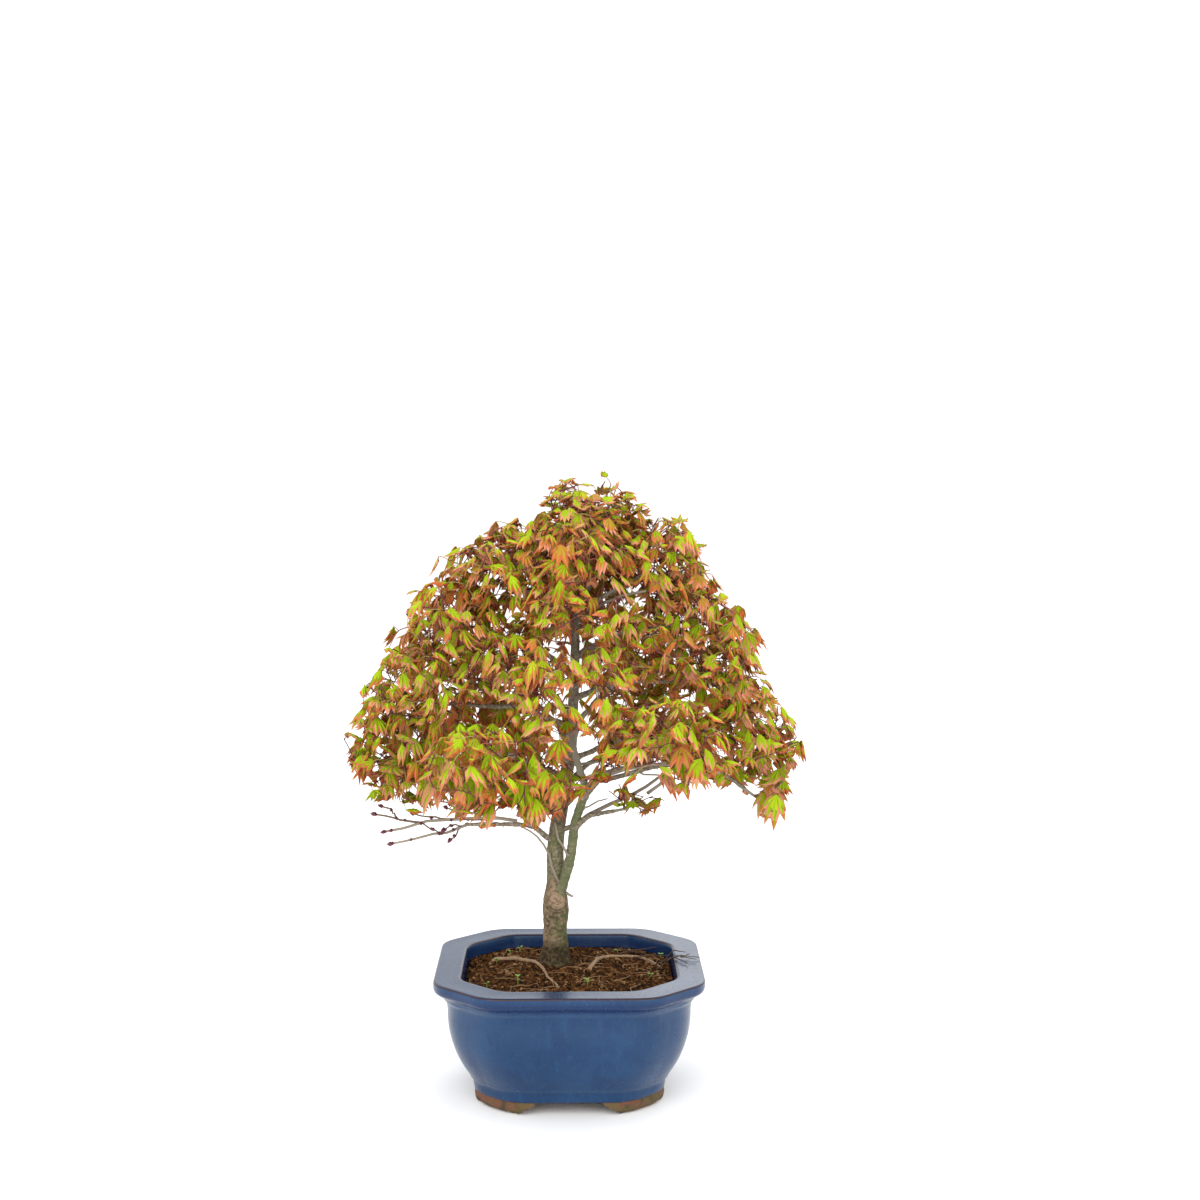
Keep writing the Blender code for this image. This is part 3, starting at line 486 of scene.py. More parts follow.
def close_tubes(rings, first, last):
    """Points and faces of tubes whose ends are closed by one point each."""
    count, stations, sides, _ = rings.shape
    points = np.concatenate([rings.reshape(count, -1, 3), first[:, None], last[:, None]], 1)
    step = stations * sides + 2
    turn = np.arange(sides)
    top = (stations - 1) * sides
    start_fan = np.stack([np.full(sides, step - 2), (turn + 1) % sides, turn], -1)
    end_fan = np.stack([np.full(sides, step - 1), top + turn, top + (turn + 1) % sides], -1)
    skin = repeated(grid_faces(stations, sides), count, step)
    fans = repeated(np.concatenate([start_fan, end_fan]), count, step)
    return points.reshape(-1, 3), [skin, fans]


def tubes(paths, radii, sides):
    """Plain closed tubes along many paths at once."""
    rings, _ = tube_rings(paths, radii, sides)
    tips = paths[:, -1] + unit(paths[:, -1] - paths[:, -2]) * radii[:, -1:]
    return close_tubes(rings, paths[:, 0], tips)


def per_tube(kinds, faces):
    """Each tube's kind for all of its faces, array by array."""
    return [np.repeat(kinds, len(part) // len(kinds)) for part in faces]


def random_turns(dice, count):
    """Random rotations as 3x3 matrices, from random quaternions of length 1."""
    w, x, y, z = unit(dice.normal(size=(count, 4))).T
    rows = [
        [1 - 2 * (y * y + z * z), 2 * (x * y - w * z), 2 * (x * z + w * y)],
        [2 * (x * y + w * z), 1 - 2 * (x * x + z * z), 2 * (y * z - w * x)],
        [2 * (x * z - w * y), 2 * (y * z + w * x), 1 - 2 * (x * x + y * y)],
    ]
    return np.moveaxis(np.array(rows), -1, 0)


def pebble():
    """The twelve corners and twenty faces of an icosahedron of radius 1."""
    golden = (1 + math.sqrt(5)) / 2
    corners = [(s, t * golden, 0) for s in (-1, 1) for t in (-1, 1)]
    turned = [np.roll(corner, turn) for turn in range(3) for corner in corners]
    points = unit(np.array(turned, float))
    edge = np.linalg.norm(points[:, None] - points[None], axis=-1)
    near = (edge > 0.1) & (edge < 1.1)
    faces = []
    for a, b, c in np.argwhere(near[:, :, None] & near[None] & near[:, None]):
        if a < b < c:
            turned = np.cross(points[b] - points[a], points[c] - points[a]) @ points[a] < 0
            faces.append((a, c, b) if turned else (a, b, c))
    return points, np.array(faces)


# ---------------------------------------------------------------- surfaces


class Finish:
    """A procedural material while it is wired. Most methods add nodes and give their output."""

    def __init__(self, name, roughness, shine=0.5):
        self.material = bpy.data.materials.new(name)
        self.material.use_nodes = True
        self.nodes = self.material.node_tree.nodes
        self.shader = self.nodes["Principled BSDF"]
        self.shader.inputs["Roughness"].default_value = roughness
        self.shader.inputs["Specular IOR Level"].default_value = shine
        self.place = self.nodes.new("ShaderNodeTexCoord").outputs["Object"]
        self.base = None

    def plug(self, value, socket):
        """Links an output to the socket, or sets a number or colour on it."""
        if isinstance(value, bpy.types.NodeSocket):
            self.material.node_tree.links.new(value, socket)
        elif socket.type == "RGBA":
            socket.default_value = (*value, 1)
        else:
            socket.default_value = value

    def node(self, kind, **values):
        """Adds a shader node of this kind, with the values on its inputs."""
        node = self.nodes.new("ShaderNode" + kind)
        for name, value in values.items():
            self.plug(value, node.inputs[name.replace("_", " ")])
        return node

    def texture(self, kind, size, stretch, **values):
        """A texture with features of this size in millimetres, times the stretch on each axis."""
        mapping = self.node("Mapping", Vector=self.place)
        mapping.inputs["Scale"].default_value = [1 / (size * MM * s) for s in stretch]
        return self.node(kind, Vector=mapping.outputs["Vector"], Scale=1.0, **values)

    def noise(self, size, detail=3, stretch=(1, 1, 1), twist=0.0):
        """Noise from 0 to 1."""
        node = self.texture("TexNoise", size, stretch, Detail=detail, Distortion=twist)
        return node.outputs["Fac"]

    def spots(self, size, detail, low, high, **shape):
        """Noise sharpened to 0 below low and 1 above high."""
        return self.between(self.noise(size, detail, **shape), low, high)

    def cells(self, size, feature="F1"):
        """Distance to the nearest of scattered points, or to the edge between two of them."""
        node = self.texture("TexVoronoi", size, (1, 1, 1))
        node.feature = feature
        return node.outputs["Distance"]

    def along(self, axis):
        """The place along the X, Y or Z axis, in metres."""
        return self.node("SeparateXYZ", Vector=self.place).outputs[axis]

    def height(self, low, high):
        """0 below the height low, 1 above high, in millimetres."""
        return self.between(self.along("Z"), low * MM, high * MM)

    def between(self, value, low, high):
        """Carries low to high over to 0 to 1, smoothly and no further. low may be the larger."""
        node = self.node("MapRange", Value=value, From_Min=low, From_Max=high)
        node.interpolation_type = "SMOOTHSTEP"
        return node.outputs["Result"]

    def attribute(self, name):
        """The value that a piece holds at its points under this name."""
        node = self.node("Attribute")
        node.attribute_name = name
        return node.outputs["Fac"]

    def sum(self, first, second, kind="ADD"):
        """The two values added, or put together in another way."""
        node = self.node("Math")
        node.operation = kind
        self.plug(first, node.inputs[0])
        self.plug(second, node.inputs[1])
        return node.outputs["Value"]

    def times(self, first, second):
        """The two values multiplied."""
        return self.sum(first, second, "MULTIPLY")

    def mix(self, share, first, second):
        """first where share is 0 and second where it is 1."""
        node = self.node("Mix")
        node.data_type = "RGBA"
        for value, name in ((share, "Factor_Float"), (first, "A_Color"), (second, "B_Color")):
            self.plug(value, next(s for s in node.inputs if s.identifier == name))
        return next(s for s in node.outputs if s.identifier == "Result_Color")

    def lay(self, colour, share, amount=1.0):
        """Lays a colour over what is there, by this share times amount."""
        self.base = self.mix(self.times(share, amount), self.base, colour)

    def roughness(self, share, low, high):
        """Roughness from low to high as share goes from 0 to 1."""
        node = self.node("MapRange", Value=share, To_Min=low, To_Max=high)
        self.plug(node.outputs["Result"], self.shader.inputs["Roughness"])

    def relief(self, height, depth, strength=1.0):
        """Bumps of this depth in millimetres."""
        node = self.node("Bump", Strength=strength, Distance=depth * MM, Height=height)
        self.plug(node.outputs["Normal"], self.shader.inputs["Normal"])

    def done(self):
        """Puts the laid colours on, and gives the material."""
        self.plug(self.base, self.shader.inputs["Base Color"])
        return self.material


def dimmed(colour, share):
    """The colour times this share."""
    return tuple(share * part for part in colour)


GLAZE_RUNS = (0.014, 0.062, 0.155)  # streaks where the glaze ran down
GLAZE_RINGS = (0.03, 0.08, 0.17)  # thinner glaze on the two low rings
GLAZE_CRAZING = (0.05, 0.10, 0.19)
GLAZE_SPECKS = (0.07, 0.05, 0.035)
GLAZE_LIP_HIGHLIGHT = (0.09, 0.13, 0.21)  # painted highlight along the rim, on its thinnest glaze
CLAY_MOSS = (0.095, 0.068, 0.02)
CLAY_GROG = (0.32, 0.2, 0.13)
SOIL_CRUMB = (0.13, 0.065, 0.026)


def glaze_finish(pot):
    """Thick glossy glaze: mottled, streaked blue, specks, fine crazing, brown where it breaks.

    It has painted shade in the cove under the rim, over the thicker glaze there, and a painted
    highlight just under the rim's top edge, where the glaze is thinnest.
    """
    wet = Finish("Blue glaze", 0.24, 0.32)
    clouds = wet.spots(34, 3, 0.35, 0.7, stretch=(1, 1, 1.6))
    wet.base = wet.mix(clouds, pot.glaze, pot.glaze_thin)
    wet.lay(pot.glaze_deep_and_shade, wet.spots(11, 4, 0.45, 0.75, twist=0.6), 0.45)
    wet.lay(GLAZE_RUNS, wet.spots(2.6, 3, 0.5, 0.8, stretch=(1, 1, 9)), 0.35)
    # Painted shade in the cove under the rim, laid over the thicker glaze there
    cove = wet.times(wet.height(62, 64.5), wet.sum(1.0, wet.height(68, 71.5), "SUBTRACT"))
    wet.lay(pot.glaze_deep_and_shade, cove, 0.75)
    wet.lay(GLAZE_RINGS, wet.attribute("ridge"), 0.3)
    crazing = wet.between(wet.cells(2.4, "DISTANCE_TO_EDGE"), 0.035, 0.0)
    wet.lay(GLAZE_CRAZING, crazing, 0.14)
    specks = wet.times(wet.between(wet.cells(4.2), 0.13, 0.05), wet.spots(15, 1, 0.52, 0.6))
    wet.lay(GLAZE_SPECKS, specks, 0.8)
    edge = wet.sum(wet.attribute("edge"), wet.times(wet.noise(3.5, 3), 0.5))
    wet.lay(pot.break_brown, wet.between(edge, 0.72, 1.12), 0.95)
    # Painted highlight just under the rim's top edge, where the glaze is also thinnest
    pale = wet.sum(wet.attribute("thin"), wet.times(wet.noise(5, 3), 0.4))
    wet.lay(GLAZE_LIP_HIGHLIGHT, wet.between(pale, 0.6, 1.1), 0.5)
    wet.roughness(wet.noise(1.8, 2), 0.17, 0.32)
    wet.relief(wet.sum(wet.noise(3.4, 2), wet.times(crazing, -0.15)), 0.12, 0.5)
    return wet.done()


def clay_finish(pot):
    """Bare red-brown clay with fine grog, dark algae and moss."""
    bare = Finish("Bare clay", 0.85)
    bare.base = bare.mix(bare.noise(5, 4), pot.clay, dimmed(pot.clay, 0.55))
    bare.lay(pot.stain, bare.spots(13, 4, 0.47, 0.62, twist=0.8), 0.85)
    bare.lay(CLAY_MOSS, bare.spots(9, 4, 0.44, 0.6), 0.8)
    bare.lay(CLAY_GROG, bare.spots(0.7, 2, 0.6, 0.75), 0.4)
    bare.relief(bare.noise(0.9, 4), 0.25, 0.7)
    return bare.done()


def soil_finish(brown):
    """Moist crumbly soil between the granules."""
    earth = Finish("Soil", 0.95, 0.04)
    earth.base = earth.mix(earth.noise(1.6, 4), dimmed(brown, 0.2), brown)
    earth.lay(SOIL_CRUMB, earth.spots(0.8, 2, 0.62, 0.8))
    earth.relief(earth.noise(1.2, 4), 0.9)
    return earth.done()


def plain_finish(name, colour, roughness, shine=0.5, grain_size=None, depth=0.1):
    """One base colour, with a fine grain in its relief where a size is given."""
    flat = Finish(name, roughness, shine)
    flat.base = colour
    if grain_size:
        flat.relief(flat.noise(grain_size, 3), depth, 0.6)
    return flat.done()


BOUGH_GREY = (0.25, 0.205, 0.15)
LICHEN = (0.30, 0.27, 0.205)
STEM_GREEN = (0.15, 0.165, 0.09)
STEM_PALE = (0.26, 0.225, 0.17)
CRACK = (0.045, 0.03, 0.02)
# painted shade of the crown on the trunk: very dark to mid brown
CROWN_SHADE = ((0.045, 0.032, 0.02), (0.19, 0.145, 0.1))
CROWN_PALE = ((0.15, 0.12, 0.085), (0.31, 0.265, 0.2))
FLAKE_SHADE = (0.125, 0.092, 0.052)
ALGAE_STRIPE = (0.085, 0.105, 0.04)
FOOT_MOSS = ((0.018, 0.012, 0.006), (0.085, 0.06, 0.028))
KNOB_TAN = (0.37, 0.26, 0.17)
ROOT_TAN = ((0.17, 0.105, 0.055), (0.43, 0.28, 0.165))
ROOT_SPECK = (0.08, 0.045, 0.025)


def bark_finish(name, bark, kind):
    """Young bark: grey in fine light and dark, with algae, pale patches and dark cracks.

    kind is trunk, stem or bough. A bough is greyer, with little algae and less relief. The stem is
    greener, and pale grey in the crown. The trunk's own layers follow its height.
    """
    skin = Finish(name, 0.85, 0.14)
    grey = BOUGH_GREY if kind == "bough" else bark.grey
    fine = skin.noise(1.4, 4)
    patches = skin.noise(7, 4, stretch=(1, 1, 1.5), twist=0.7)
    skin.base = skin.mix(skin.between(fine, 0.35, 0.7), dimmed(grey, 0.6), dimmed(grey, 1.35))
    skin.lay(bark.algae, skin.between(patches, 0.46, 0.6), 0.15 if kind == "bough" else 0.7)
    skin.lay(LICHEN, skin.spots(4.5, 4, 0.56, 0.7, stretch=(1, 1, 0.5)), 0.5)
    if kind == "trunk":
        lay_trunk(skin, bark, fine, patches)
    if kind == "stem":
        skin.lay(STEM_GREEN, 0.45)
        skin.lay(STEM_PALE, skin.height(166, 184), 0.8)
    skin.lay(CRACK, skin.attribute("crack"), 0.65)
    skin.relief(skin.noise(0.9, 4, stretch=(1, 1, 1.8)), 0.22 if kind == "trunk" else 0.1, 0.8)
    return skin.done()


def lay_trunk(skin, bark, fine, patches):
    """The trunk's layers by height: browner bark darkened by painted shade of the crown above the
    second stem, and pale grey higher in the crown.

    Up to the graft it flakes in tan, with a stripe of algae on its right. The foot is mossy and
    dark, and the graft's knob is pale tan.
    """
    # Painted shade of the crown: darker brown from 140 mm up
    dark = skin.mix(skin.spots(3, 4, 0.3, 0.7), *CROWN_SHADE)
    skin.lay(dark, skin.height(140, 158), 0.85)
    pale = skin.mix(skin.between(fine, 0.35, 0.65), *CROWN_PALE)
    skin.lay(pale, skin.height(172, 196), 0.8)
    ragged = skin.sum(skin.height(126, 104), skin.times(skin.noise(7, 3), 0.9))
    low = skin.between(ragged, 0.62, 1.0)
    flaking = skin.spots(4.6, 5, 0.36, 0.6, stretch=(1, 1, 0.6), twist=1.2)
    skin.lay(skin.mix(flaking, FLAKE_SHADE, bark.tan), low, 0.88)
    side = skin.between(skin.sum(skin.along("X"), skin.times(patches, 12 * MM)), -6 * MM, 2 * MM)
    green = skin.times(skin.times(low, side), skin.height(104, 97))
    stripe = skin.spots(5.5, 4, 0.4, 0.54, stretch=(1, 1, 0.7), twist=0.8)
    skin.lay(ALGAE_STRIPE, skin.times(green, stripe), 0.85)
    ragged = skin.sum(skin.height(66, 100), skin.times(skin.noise(6, 3), 0.5))
    foot = skin.between(ragged, 0.85, 0.4)
    moss = skin.mix(skin.spots(1.8, 4, 0.42, 0.62), *FOOT_MOSS)
    skin.lay(moss, foot, 0.92)
    knob = skin.between(skin.sum(skin.attribute("knob"), skin.times(fine, 0.9)), 0.6, 1.25)
    skin.lay(KNOB_TAN, knob, 0.85)


def root_finish():
    """Tan skin of the surface roots with dark specks."""
    skin = Finish("Root bark", 0.85)
    skin.base = skin.mix(skin.noise(2.2, 4), *ROOT_TAN)
    skin.lay(ROOT_SPECK, skin.spots(1.2, 3, 0.58, 0.75))
    skin.relief(skin.noise(0.8, 3), 0.2, 0.7)
    return skin.done()


# ---------------------------------------------------------------- pot


def square_plan(step, reach=CORNER_ROUND[1], half=RIM_HALF):
    """A square of half width 1 with its corners cut and rounded, as points in order round it.

    Straight sides are divided evenly, into as many parts for any rounding. A corner is a parabola
    that leaves and meets its two sides at an equal distance from their corner.
    """
    corners = []
    for turn in range(4):
        c, s = quarter_turn(turn)
        for x, y in ((1, 1 - CORNER_SHARE), (1 - CORNER_SHARE, 1)):
            corners.append(np.array((c * x - s * y, s * x + c * y)))
    rounded = []
    for i, corner in enumerate(corners):
        before = corner + unit(corners[i - 1] - corner) * reach / half
        after = corner + unit(corners[(i + 1) % 8] - corner) * reach / half
        rounded.append(corner_curve(before, corner, after))
    outline = []
    for i, curve in enumerate(rounded):
        ahead = rounded[(i + 1) % 8][0]
        side = np.linalg.norm(corners[(i + 1) % 8] - corners[i]) * half - 2 * CORNER_ROUND[0]
        pieces = max(2, round(side / step))
        share = (np.arange(1, pieces) / pieces)[:, None]
        outline += [curve, curve[-1] + (ahead - curve[-1]) * share]
    return np.concatenate(outline)


def softened(corners):
    """The line through corners (half width, height, reach), each inner one replaced by a parabola.

    The parabola leaves and meets the line's two sides at the corner's reach, or nearly half way
    along a shorter side.
    """
    corners = np.array(corners, float)
    line = [corners[0, None, :2]]
    for before, (half, z, reach), after in zip(corners, corners[1:], corners[2:]):
        corner = np.array((half, z))
        ends = []
        for side in (before[:2] - corner, after[:2] - corner):
            ends.append(corner + unit(side) * min(reach, np.linalg.norm(side) * 0.48))
        line.append(corner_curve(ends[0], corner, ends[1]))
    return np.concatenate([*line, corners[-1, None, :2]])


def filled_in(line, step):
    """The same line with more points, so that no two are further apart than step."""
    parts = []
    for a, b in zip(line, line[1:]):
        pieces = max(1, math.ceil(np.linalg.norm(b - a) / step))
        parts.append(a + (b - a) * (np.arange(pieces) / pieces)[:, None])
    return np.concatenate([*parts, line[-1:]])


def outer_profile():
    """Half widths and heights up the outside, from the glaze's lower edge to the rim's foot.

    The body flattens upwards by the power 2.1, and the cove under the rim is most of a quarter of
    an ellipse.
    """
    t = np.linspace(0, 1, 30)
    bulge = NECK[0] - (NECK[0] - WAIST[0]) * (1 - t) ** 2.1
    body = np.stack([bulge, WAIST[1] + (NECK[1] - WAIST[1]) * t], 1)
    angle = np.linspace(0, 0.8 * math.pi / 2, 12)[1:]
    reach = RIM_HALF - 1.2 - NECK[0]
    rise = RIM_BAND[0] - 1.4 - NECK[1]
    cove = np.stack([NECK[0] + reach * (1 - np.cos(angle)), NECK[1] + rise * np.sin(angle)], 1)
    band = np.array([(53.6, FOOT_HEIGHT), (54.4, FOOT_HEIGHT + 0.5), (54.7, 9.5), (54.9, 11.5)])
    return np.concatenate([band, body, cove])


RINGS = ((61.6, 14.6), (59.6, 12.6))  # heights of the two low rings, and of the grooves below


def make_pot(pot):
    """One closed skin: up the outside, over the rim, down the inside, and back under the floor.

    A point of the skin is its row's half width times the cut square's outline. The rows round the
    drain hole use a circle in place of the square, and the floor's rows go from one to the other.
    Two low rings, each with a groove below it, stand on the outside: one in the cove and one above
    the foot band. The corners are rounded less at the rim than on the body.
    """
    step = pot.step / MM
    plan = square_plan(step)
    rim_plan = square_plan(step, CORNER_ROUND[0])
    outer = filled_in(outer_profile(), step)
    inner_edge = RIM_HALF - LEDGE
    rim = softened([(*outer[-1], 0), (RIM_HALF, RIM_BAND[0] + 0.3, 2.6), (RIM_HALF, POT_TOP, 1.5),
                    (69, POT_TOP - 0.25, 4), (inner_edge, POT_TOP, 1.8),
                    (inner_edge - 1.0, SOIL_EDGE, 0)])
    inside = [(inner_edge - 1.0, SOIL_EDGE - 1), (NECK[0] - WALL - 1, NECK[1] - 8), (62 - WALL, 26),
              (WAIST[0] - WALL, FLOOR_TOP), (20, FLOOR_TOP)]
    hole = [(DRAIN_RADIUS + 1, FLOOR_TOP), (DRAIN_RADIUS, FLOOR_TOP - 1),
            (DRAIN_RADIUS, FOOT_HEIGHT + 1), (DRAIN_RADIUS + 1, FOOT_HEIGHT),
            (20, FOOT_HEIGHT), (36, FOOT_HEIGHT), (50, FOOT_HEIGHT)]
    rows = np.concatenate([outer, filled_in(rim[1:], step), filled_in(np.array(inside), 7.0), hole])
    count = len(rows)
    outside = np.arange(count) < len(outer)
    bare_from = count - len(hole)
    squareness = np.ones(count)
    squareness[bare_from : bare_from + 4] = 0
    squareness[[bare_from - 1, bare_from + 4]] = 0.6

    half, z = rows.T.copy()
    ridge = outside * (bump(z, RINGS[0][0], 0.9) + 0.8 * bump(z, RINGS[0][1], 0.9))
    groove = outside * (bump(z, RINGS[1][0], 0.9) + 0.6 * bump(z, RINGS[1][1], 0.8))
    half = half + 0.55 * ridge - 0.25 * groove

    turn = np.arctan2(plan[:, 1], plan[:, 0])
    circle = np.stack([np.cos(turn), np.sin(turn)], 1)
    at_rim = blend(z, 58, 67)[:, None, None]
    mixed = circle + (plan + (rim_plan - plan) * at_rim - circle) * squareness[:, None, None]
    points = np.empty((count, len(plan), 3))
    points[..., :2] = half[:, None, None] * mixed
    points[..., 2] = z[:, None]
    shown = ((outside | (z > 60)) & (z > FOOT_HEIGHT + 1.7))[:, None]
    out = unit(points[..., :2])
    wobble = pot.wobble / MM
    swell = grain(points, 45.0, 3) + 0.25 * grain(points, 9.0, 4)
    points[..., :2] += out * (swell * wobble * shown)[..., None]
    points[..., 2] += 0.6 * wobble * grain(points, 30.0, 5) * (z > 62)[:, None]

    rim_edge = (half > RIM_HALF - 1.8) * bump(z, POT_TOP - 0.6, 0.6)
    lip_edge = (np.abs(half - inner_edge) < 1.1) * (z > 60) * bump(z, POT_TOP - 0.4, 0.8) * 0.85
    glaze_edge = outside * (z < 10) * bump(z, FOOT_HEIGHT, 0.9)
    edge = np.maximum.reduce([rim_edge, lip_edge, glaze_edge])
    # Where the painted highlight lies just under the rim's top edge, on the thinnest glaze
    thin = (half > RIM_HALF - 0.7) * bump(z, POT_TOP - 2.3, 0.7)
    values = {"edge": edge, "ridge": ridge, "thin": thin}
    values = {name: np.outer(value, np.ones(len(plan))) for name, value in values.items()}
    faces = grid_faces(count, len(plan), round_rows=True)
    row_of_face = np.arange(len(faces)) // len(plan)
    bare = (row_of_face >= bare_from - 2).astype(int)
    surfaces = [glaze_finish(pot), clay_finish(pot)]
    return add_piece("pot_body", points, [faces], surfaces, "glaze", ["pot"],
                     finish=[bare], **values)


def clipped_plan(half, arch, count):
    """The outline of this half width round one corner of the pot, cut where the arches begin.

    Points run evenly from the front side to the right side of a quarter of the outline, and each
    is moved out to the arch's half width in x and in y.
    """
    plan = square_plan(1.0) * half
    quarter = plan[(plan[:, 0] > 0) & (plan[:, 1] < 0)]
    quarter = quarter[np.argsort(np.arctan2(quarter[:, 1], quarter[:, 0]))]
    gone = lengths_along(quarter)
    even = np.linspace(0, gone[-1], count)
    x = np.interp(even, gone, quarter[:, 0])
    y = np.interp(even, gone, quarter[:, 1])
    return np.stack([np.maximum(x, arch), np.minimum(y, -arch)], 1)


def strips(chain):
    """The four-sided faces between each two neighbours of a chain of lines of point numbers."""
    return [np.stack([a[:-1], a[1:], b[1:], b[:-1]], -1) for a, b in zip(chain, chain[1:])]


FOOT_ROWS = np.array([
    FOOT_HEIGHT + 0.6, 6.4, 5.6, 4.8, 4.0, 3.2, 2.4, 1.6, 1.0, 0.6, 0.3, 0.1, 0.0,
])
FOOT_SWELL = 2.1  # how far the feet stand out at their top
FOOT_CURVE = 4.5  # height of their drawn-in lower edge


def make_feet(pot):
    """Four bare clay feet under the corners.

    Each row of a foot is one closed line: the pot's outline from arch to arch, and back along the
    ring's inner outline. The arch's half width goes smoothly from its widest at the ground to its
    narrowest at the top. The outline draws in towards the ground as a quarter circle, the lowest
    rows draw in all round, and the top and the ground's face are filled with lines between the two
    outlines.
    """
    count = 60
    rows = []
    for z in FOOT_ROWS:
        t = min(z, FOOT_HEIGHT) / FOOT_HEIGHT
        arch = ARCH_HALF[0] + (ARCH_HALF[1] - ARCH_HALF[0]) * t * t * (3 - 2 * t)
        edge = 1 - min(1.0, z / FOOT_CURVE)
        drawn_in = 2 * FOOT_SWELL * (1 - math.sqrt(1 - edge**2))
        outer = clipped_plan(FOOT_HALF + FOOT_SWELL - drawn_in, arch, count)
        inner = clipped_plan(FOOT_HALF - FOOT_WIDTH, arch, count)
        line = np.concatenate([outer, inner[::-1]])
        middle = line.mean(0)
        line = middle + (line - middle) * (1 - 0.045 * (1 - min(1.0, z / 1.0)) ** 2)
        rows.append(np.column_stack([line, np.full(len(line), z)]))
    rows = np.array(rows)
    fill = []
    for row, share in ((rows[-1], 0.25), (rows[-1], 0.5), (rows[-1], 0.75), (rows[0], 0.5)):
        fill.append(row[:count] + (row[: count - 1 : -1] - row[:count]) * share)
    points = np.concatenate([rows.reshape(-1, 3), *fill])
    along = np.arange(count)
    base = len(rows) * 2 * count
    low = (len(rows) - 1) * 2 * count + along
    under = [low, *(base + along + i * count for i in range(3)), low[::-1] + count]
    over = [along, base + along + 3 * count, along[::-1] + count]
    skin = grid_faces(len(rows), 2 * count)
    lower = [faces[:, ::-1] for faces in strips(under)]
    one = np.concatenate([skin[:, ::-1], *lower, *strips(over)])

    every = []
    for turn in range(4):
        c, s = quarter_turn(turn)
        every.append(points @ np.array([[c, s, 0], [-s, c, 0], [0, 0, 1]]))
    every = np.concatenate(every)
    every[:, 2] = np.maximum(0, every[:, 2] + grain(every, 6.0, 11) * 0.18 * (every[:, 2] > 0.05))
    every[:, :2] += unit(every[:, :2]) * grain(every, 5.0, 12)[:, None] * 0.2
    faces = repeated(one, 4, len(points))
    return add_piece("pot_feet", every, [faces], [clay_finish(pot)], "glaze", ["pot"])


# ---------------------------------------------------------------- soil


def soil_share(x, y):
    """How far a point is from the trunk's foot to the wall, 0 to 1: the most over eight sides."""
    diagonal = (2 - CORNER_SHARE) / math.sqrt(2)
    share = np.zeros(np.broadcast(x, y).shape)
    for i in range(8):
        normal = np.array((math.cos(i * math.pi / 4), math.sin(i * math.pi / 4)))
        reach = SOIL_HALF * (diagonal if i % 2 else 1) - normal @ SEAT
        gone = (x - SEAT[0]) * normal[0] + (y - SEAT[1]) * normal[1]
        share = np.maximum(share, gone / reach)
    return share


def soil_height(x, y):
    """Height of the soil: it rises from the wall to the trunk's foot as a quarter of a sine wave.

    A little more is banked up against the wall, as the share's fourth power, and left of the trunk.
    """
    share = soil_share(x, y)
    inward = np.clip((1 - share) / (1 - SEAT_SHARE), 0, 1)
    rise = (SOIL_TOP - 0.3 - SOIL_EDGE) * np.sin(inward * math.pi / 2)
    mound = 1.6 * np.exp(-((x + 17) ** 2 + (y - 15) ** 2) / 50)
    return SOIL_EDGE + rise + 1.3 * share**4 + mound


def make_soil_bed(soil):
    """The soil as one closed skin: rings down the wall to the pot's floor, and inward over the top.

    A top ring's points lie at one share of the way from the trunk's foot to the wall, at the
    soil's height plus grain of three sizes.
    """
    plan = square_plan(1.4)
    gap = 0.45
    wall = [(WAIST[0] - WALL - gap, FLOOR_TOP + 0.3), (62 - WALL - gap, 26),
            (NECK[0] - WALL - 1 - gap, NECK[1] - 8), (SOIL_HALF - 0.1, 56.0), (SOIL_HALF, 62.0)]
    rows = [np.column_stack([plan * half, np.full(len(plan), z)]) for half, z in wall]
    shares = np.concatenate([[1.0], np.linspace(0.985, 0.06, 64)])
    for share in shares:
        flat = SEAT + (plan * SOIL_HALF - SEAT) * share
        rows.append(np.column_stack([flat, soil_height(*flat.T)]))
    rows = np.array(rows)
    rough = 0.55 * grain(rows, 5.0, 21) + 0.4 * grain(rows, 2.2, 22) + 0.9 * grain(rows, 24.0, 23)
    rows[len(wall) + 1 :, :, 2] += rough[len(wall) + 1 :] * 0.6 - 0.7
    first = np.array([[0.0, 0.0, FLOOR_TOP + 0.3]])
    last = np.array([[SEAT[0], SEAT[1], SOIL_TOP - 0.4]])
    points, faces = close_tubes(rows[None], first, last)
    return add_piece("soil_bed", points, faces, [soil_finish(soil.brown)], "soil", ["soil"])


def soil_places(dice, count, low=0.0, high=0.985):
    """Random places on the soil, clear of the trunk, between these shares of the way out."""
    x, y = dice.uniform(-SOIL_HALF, SOIL_HALF, (2, count * 3))
    share = soil_share(x, y)
    from_trunk = np.hypot(x - SEAT[0], y - SEAT[1])
    kept = np.flatnonzero((share > low) & (share < high) & (from_trunk > 8.0))[:count]
    return x[kept], y[kept]


GRANULE_TONES = (  # colours, and their shares of the granules
    ((0.088, 0.036, 0.010), 0.33),
    ((0.036, 0.015, 0.005), 0.27),
    ((0.15, 0.068, 0.022), 0.2),
    ((0.010, 0.005, 0.002), 0.15),
    ((0.27, 0.16, 0.075), 0.05),
)
LARGEST_GRANULE = 1.7


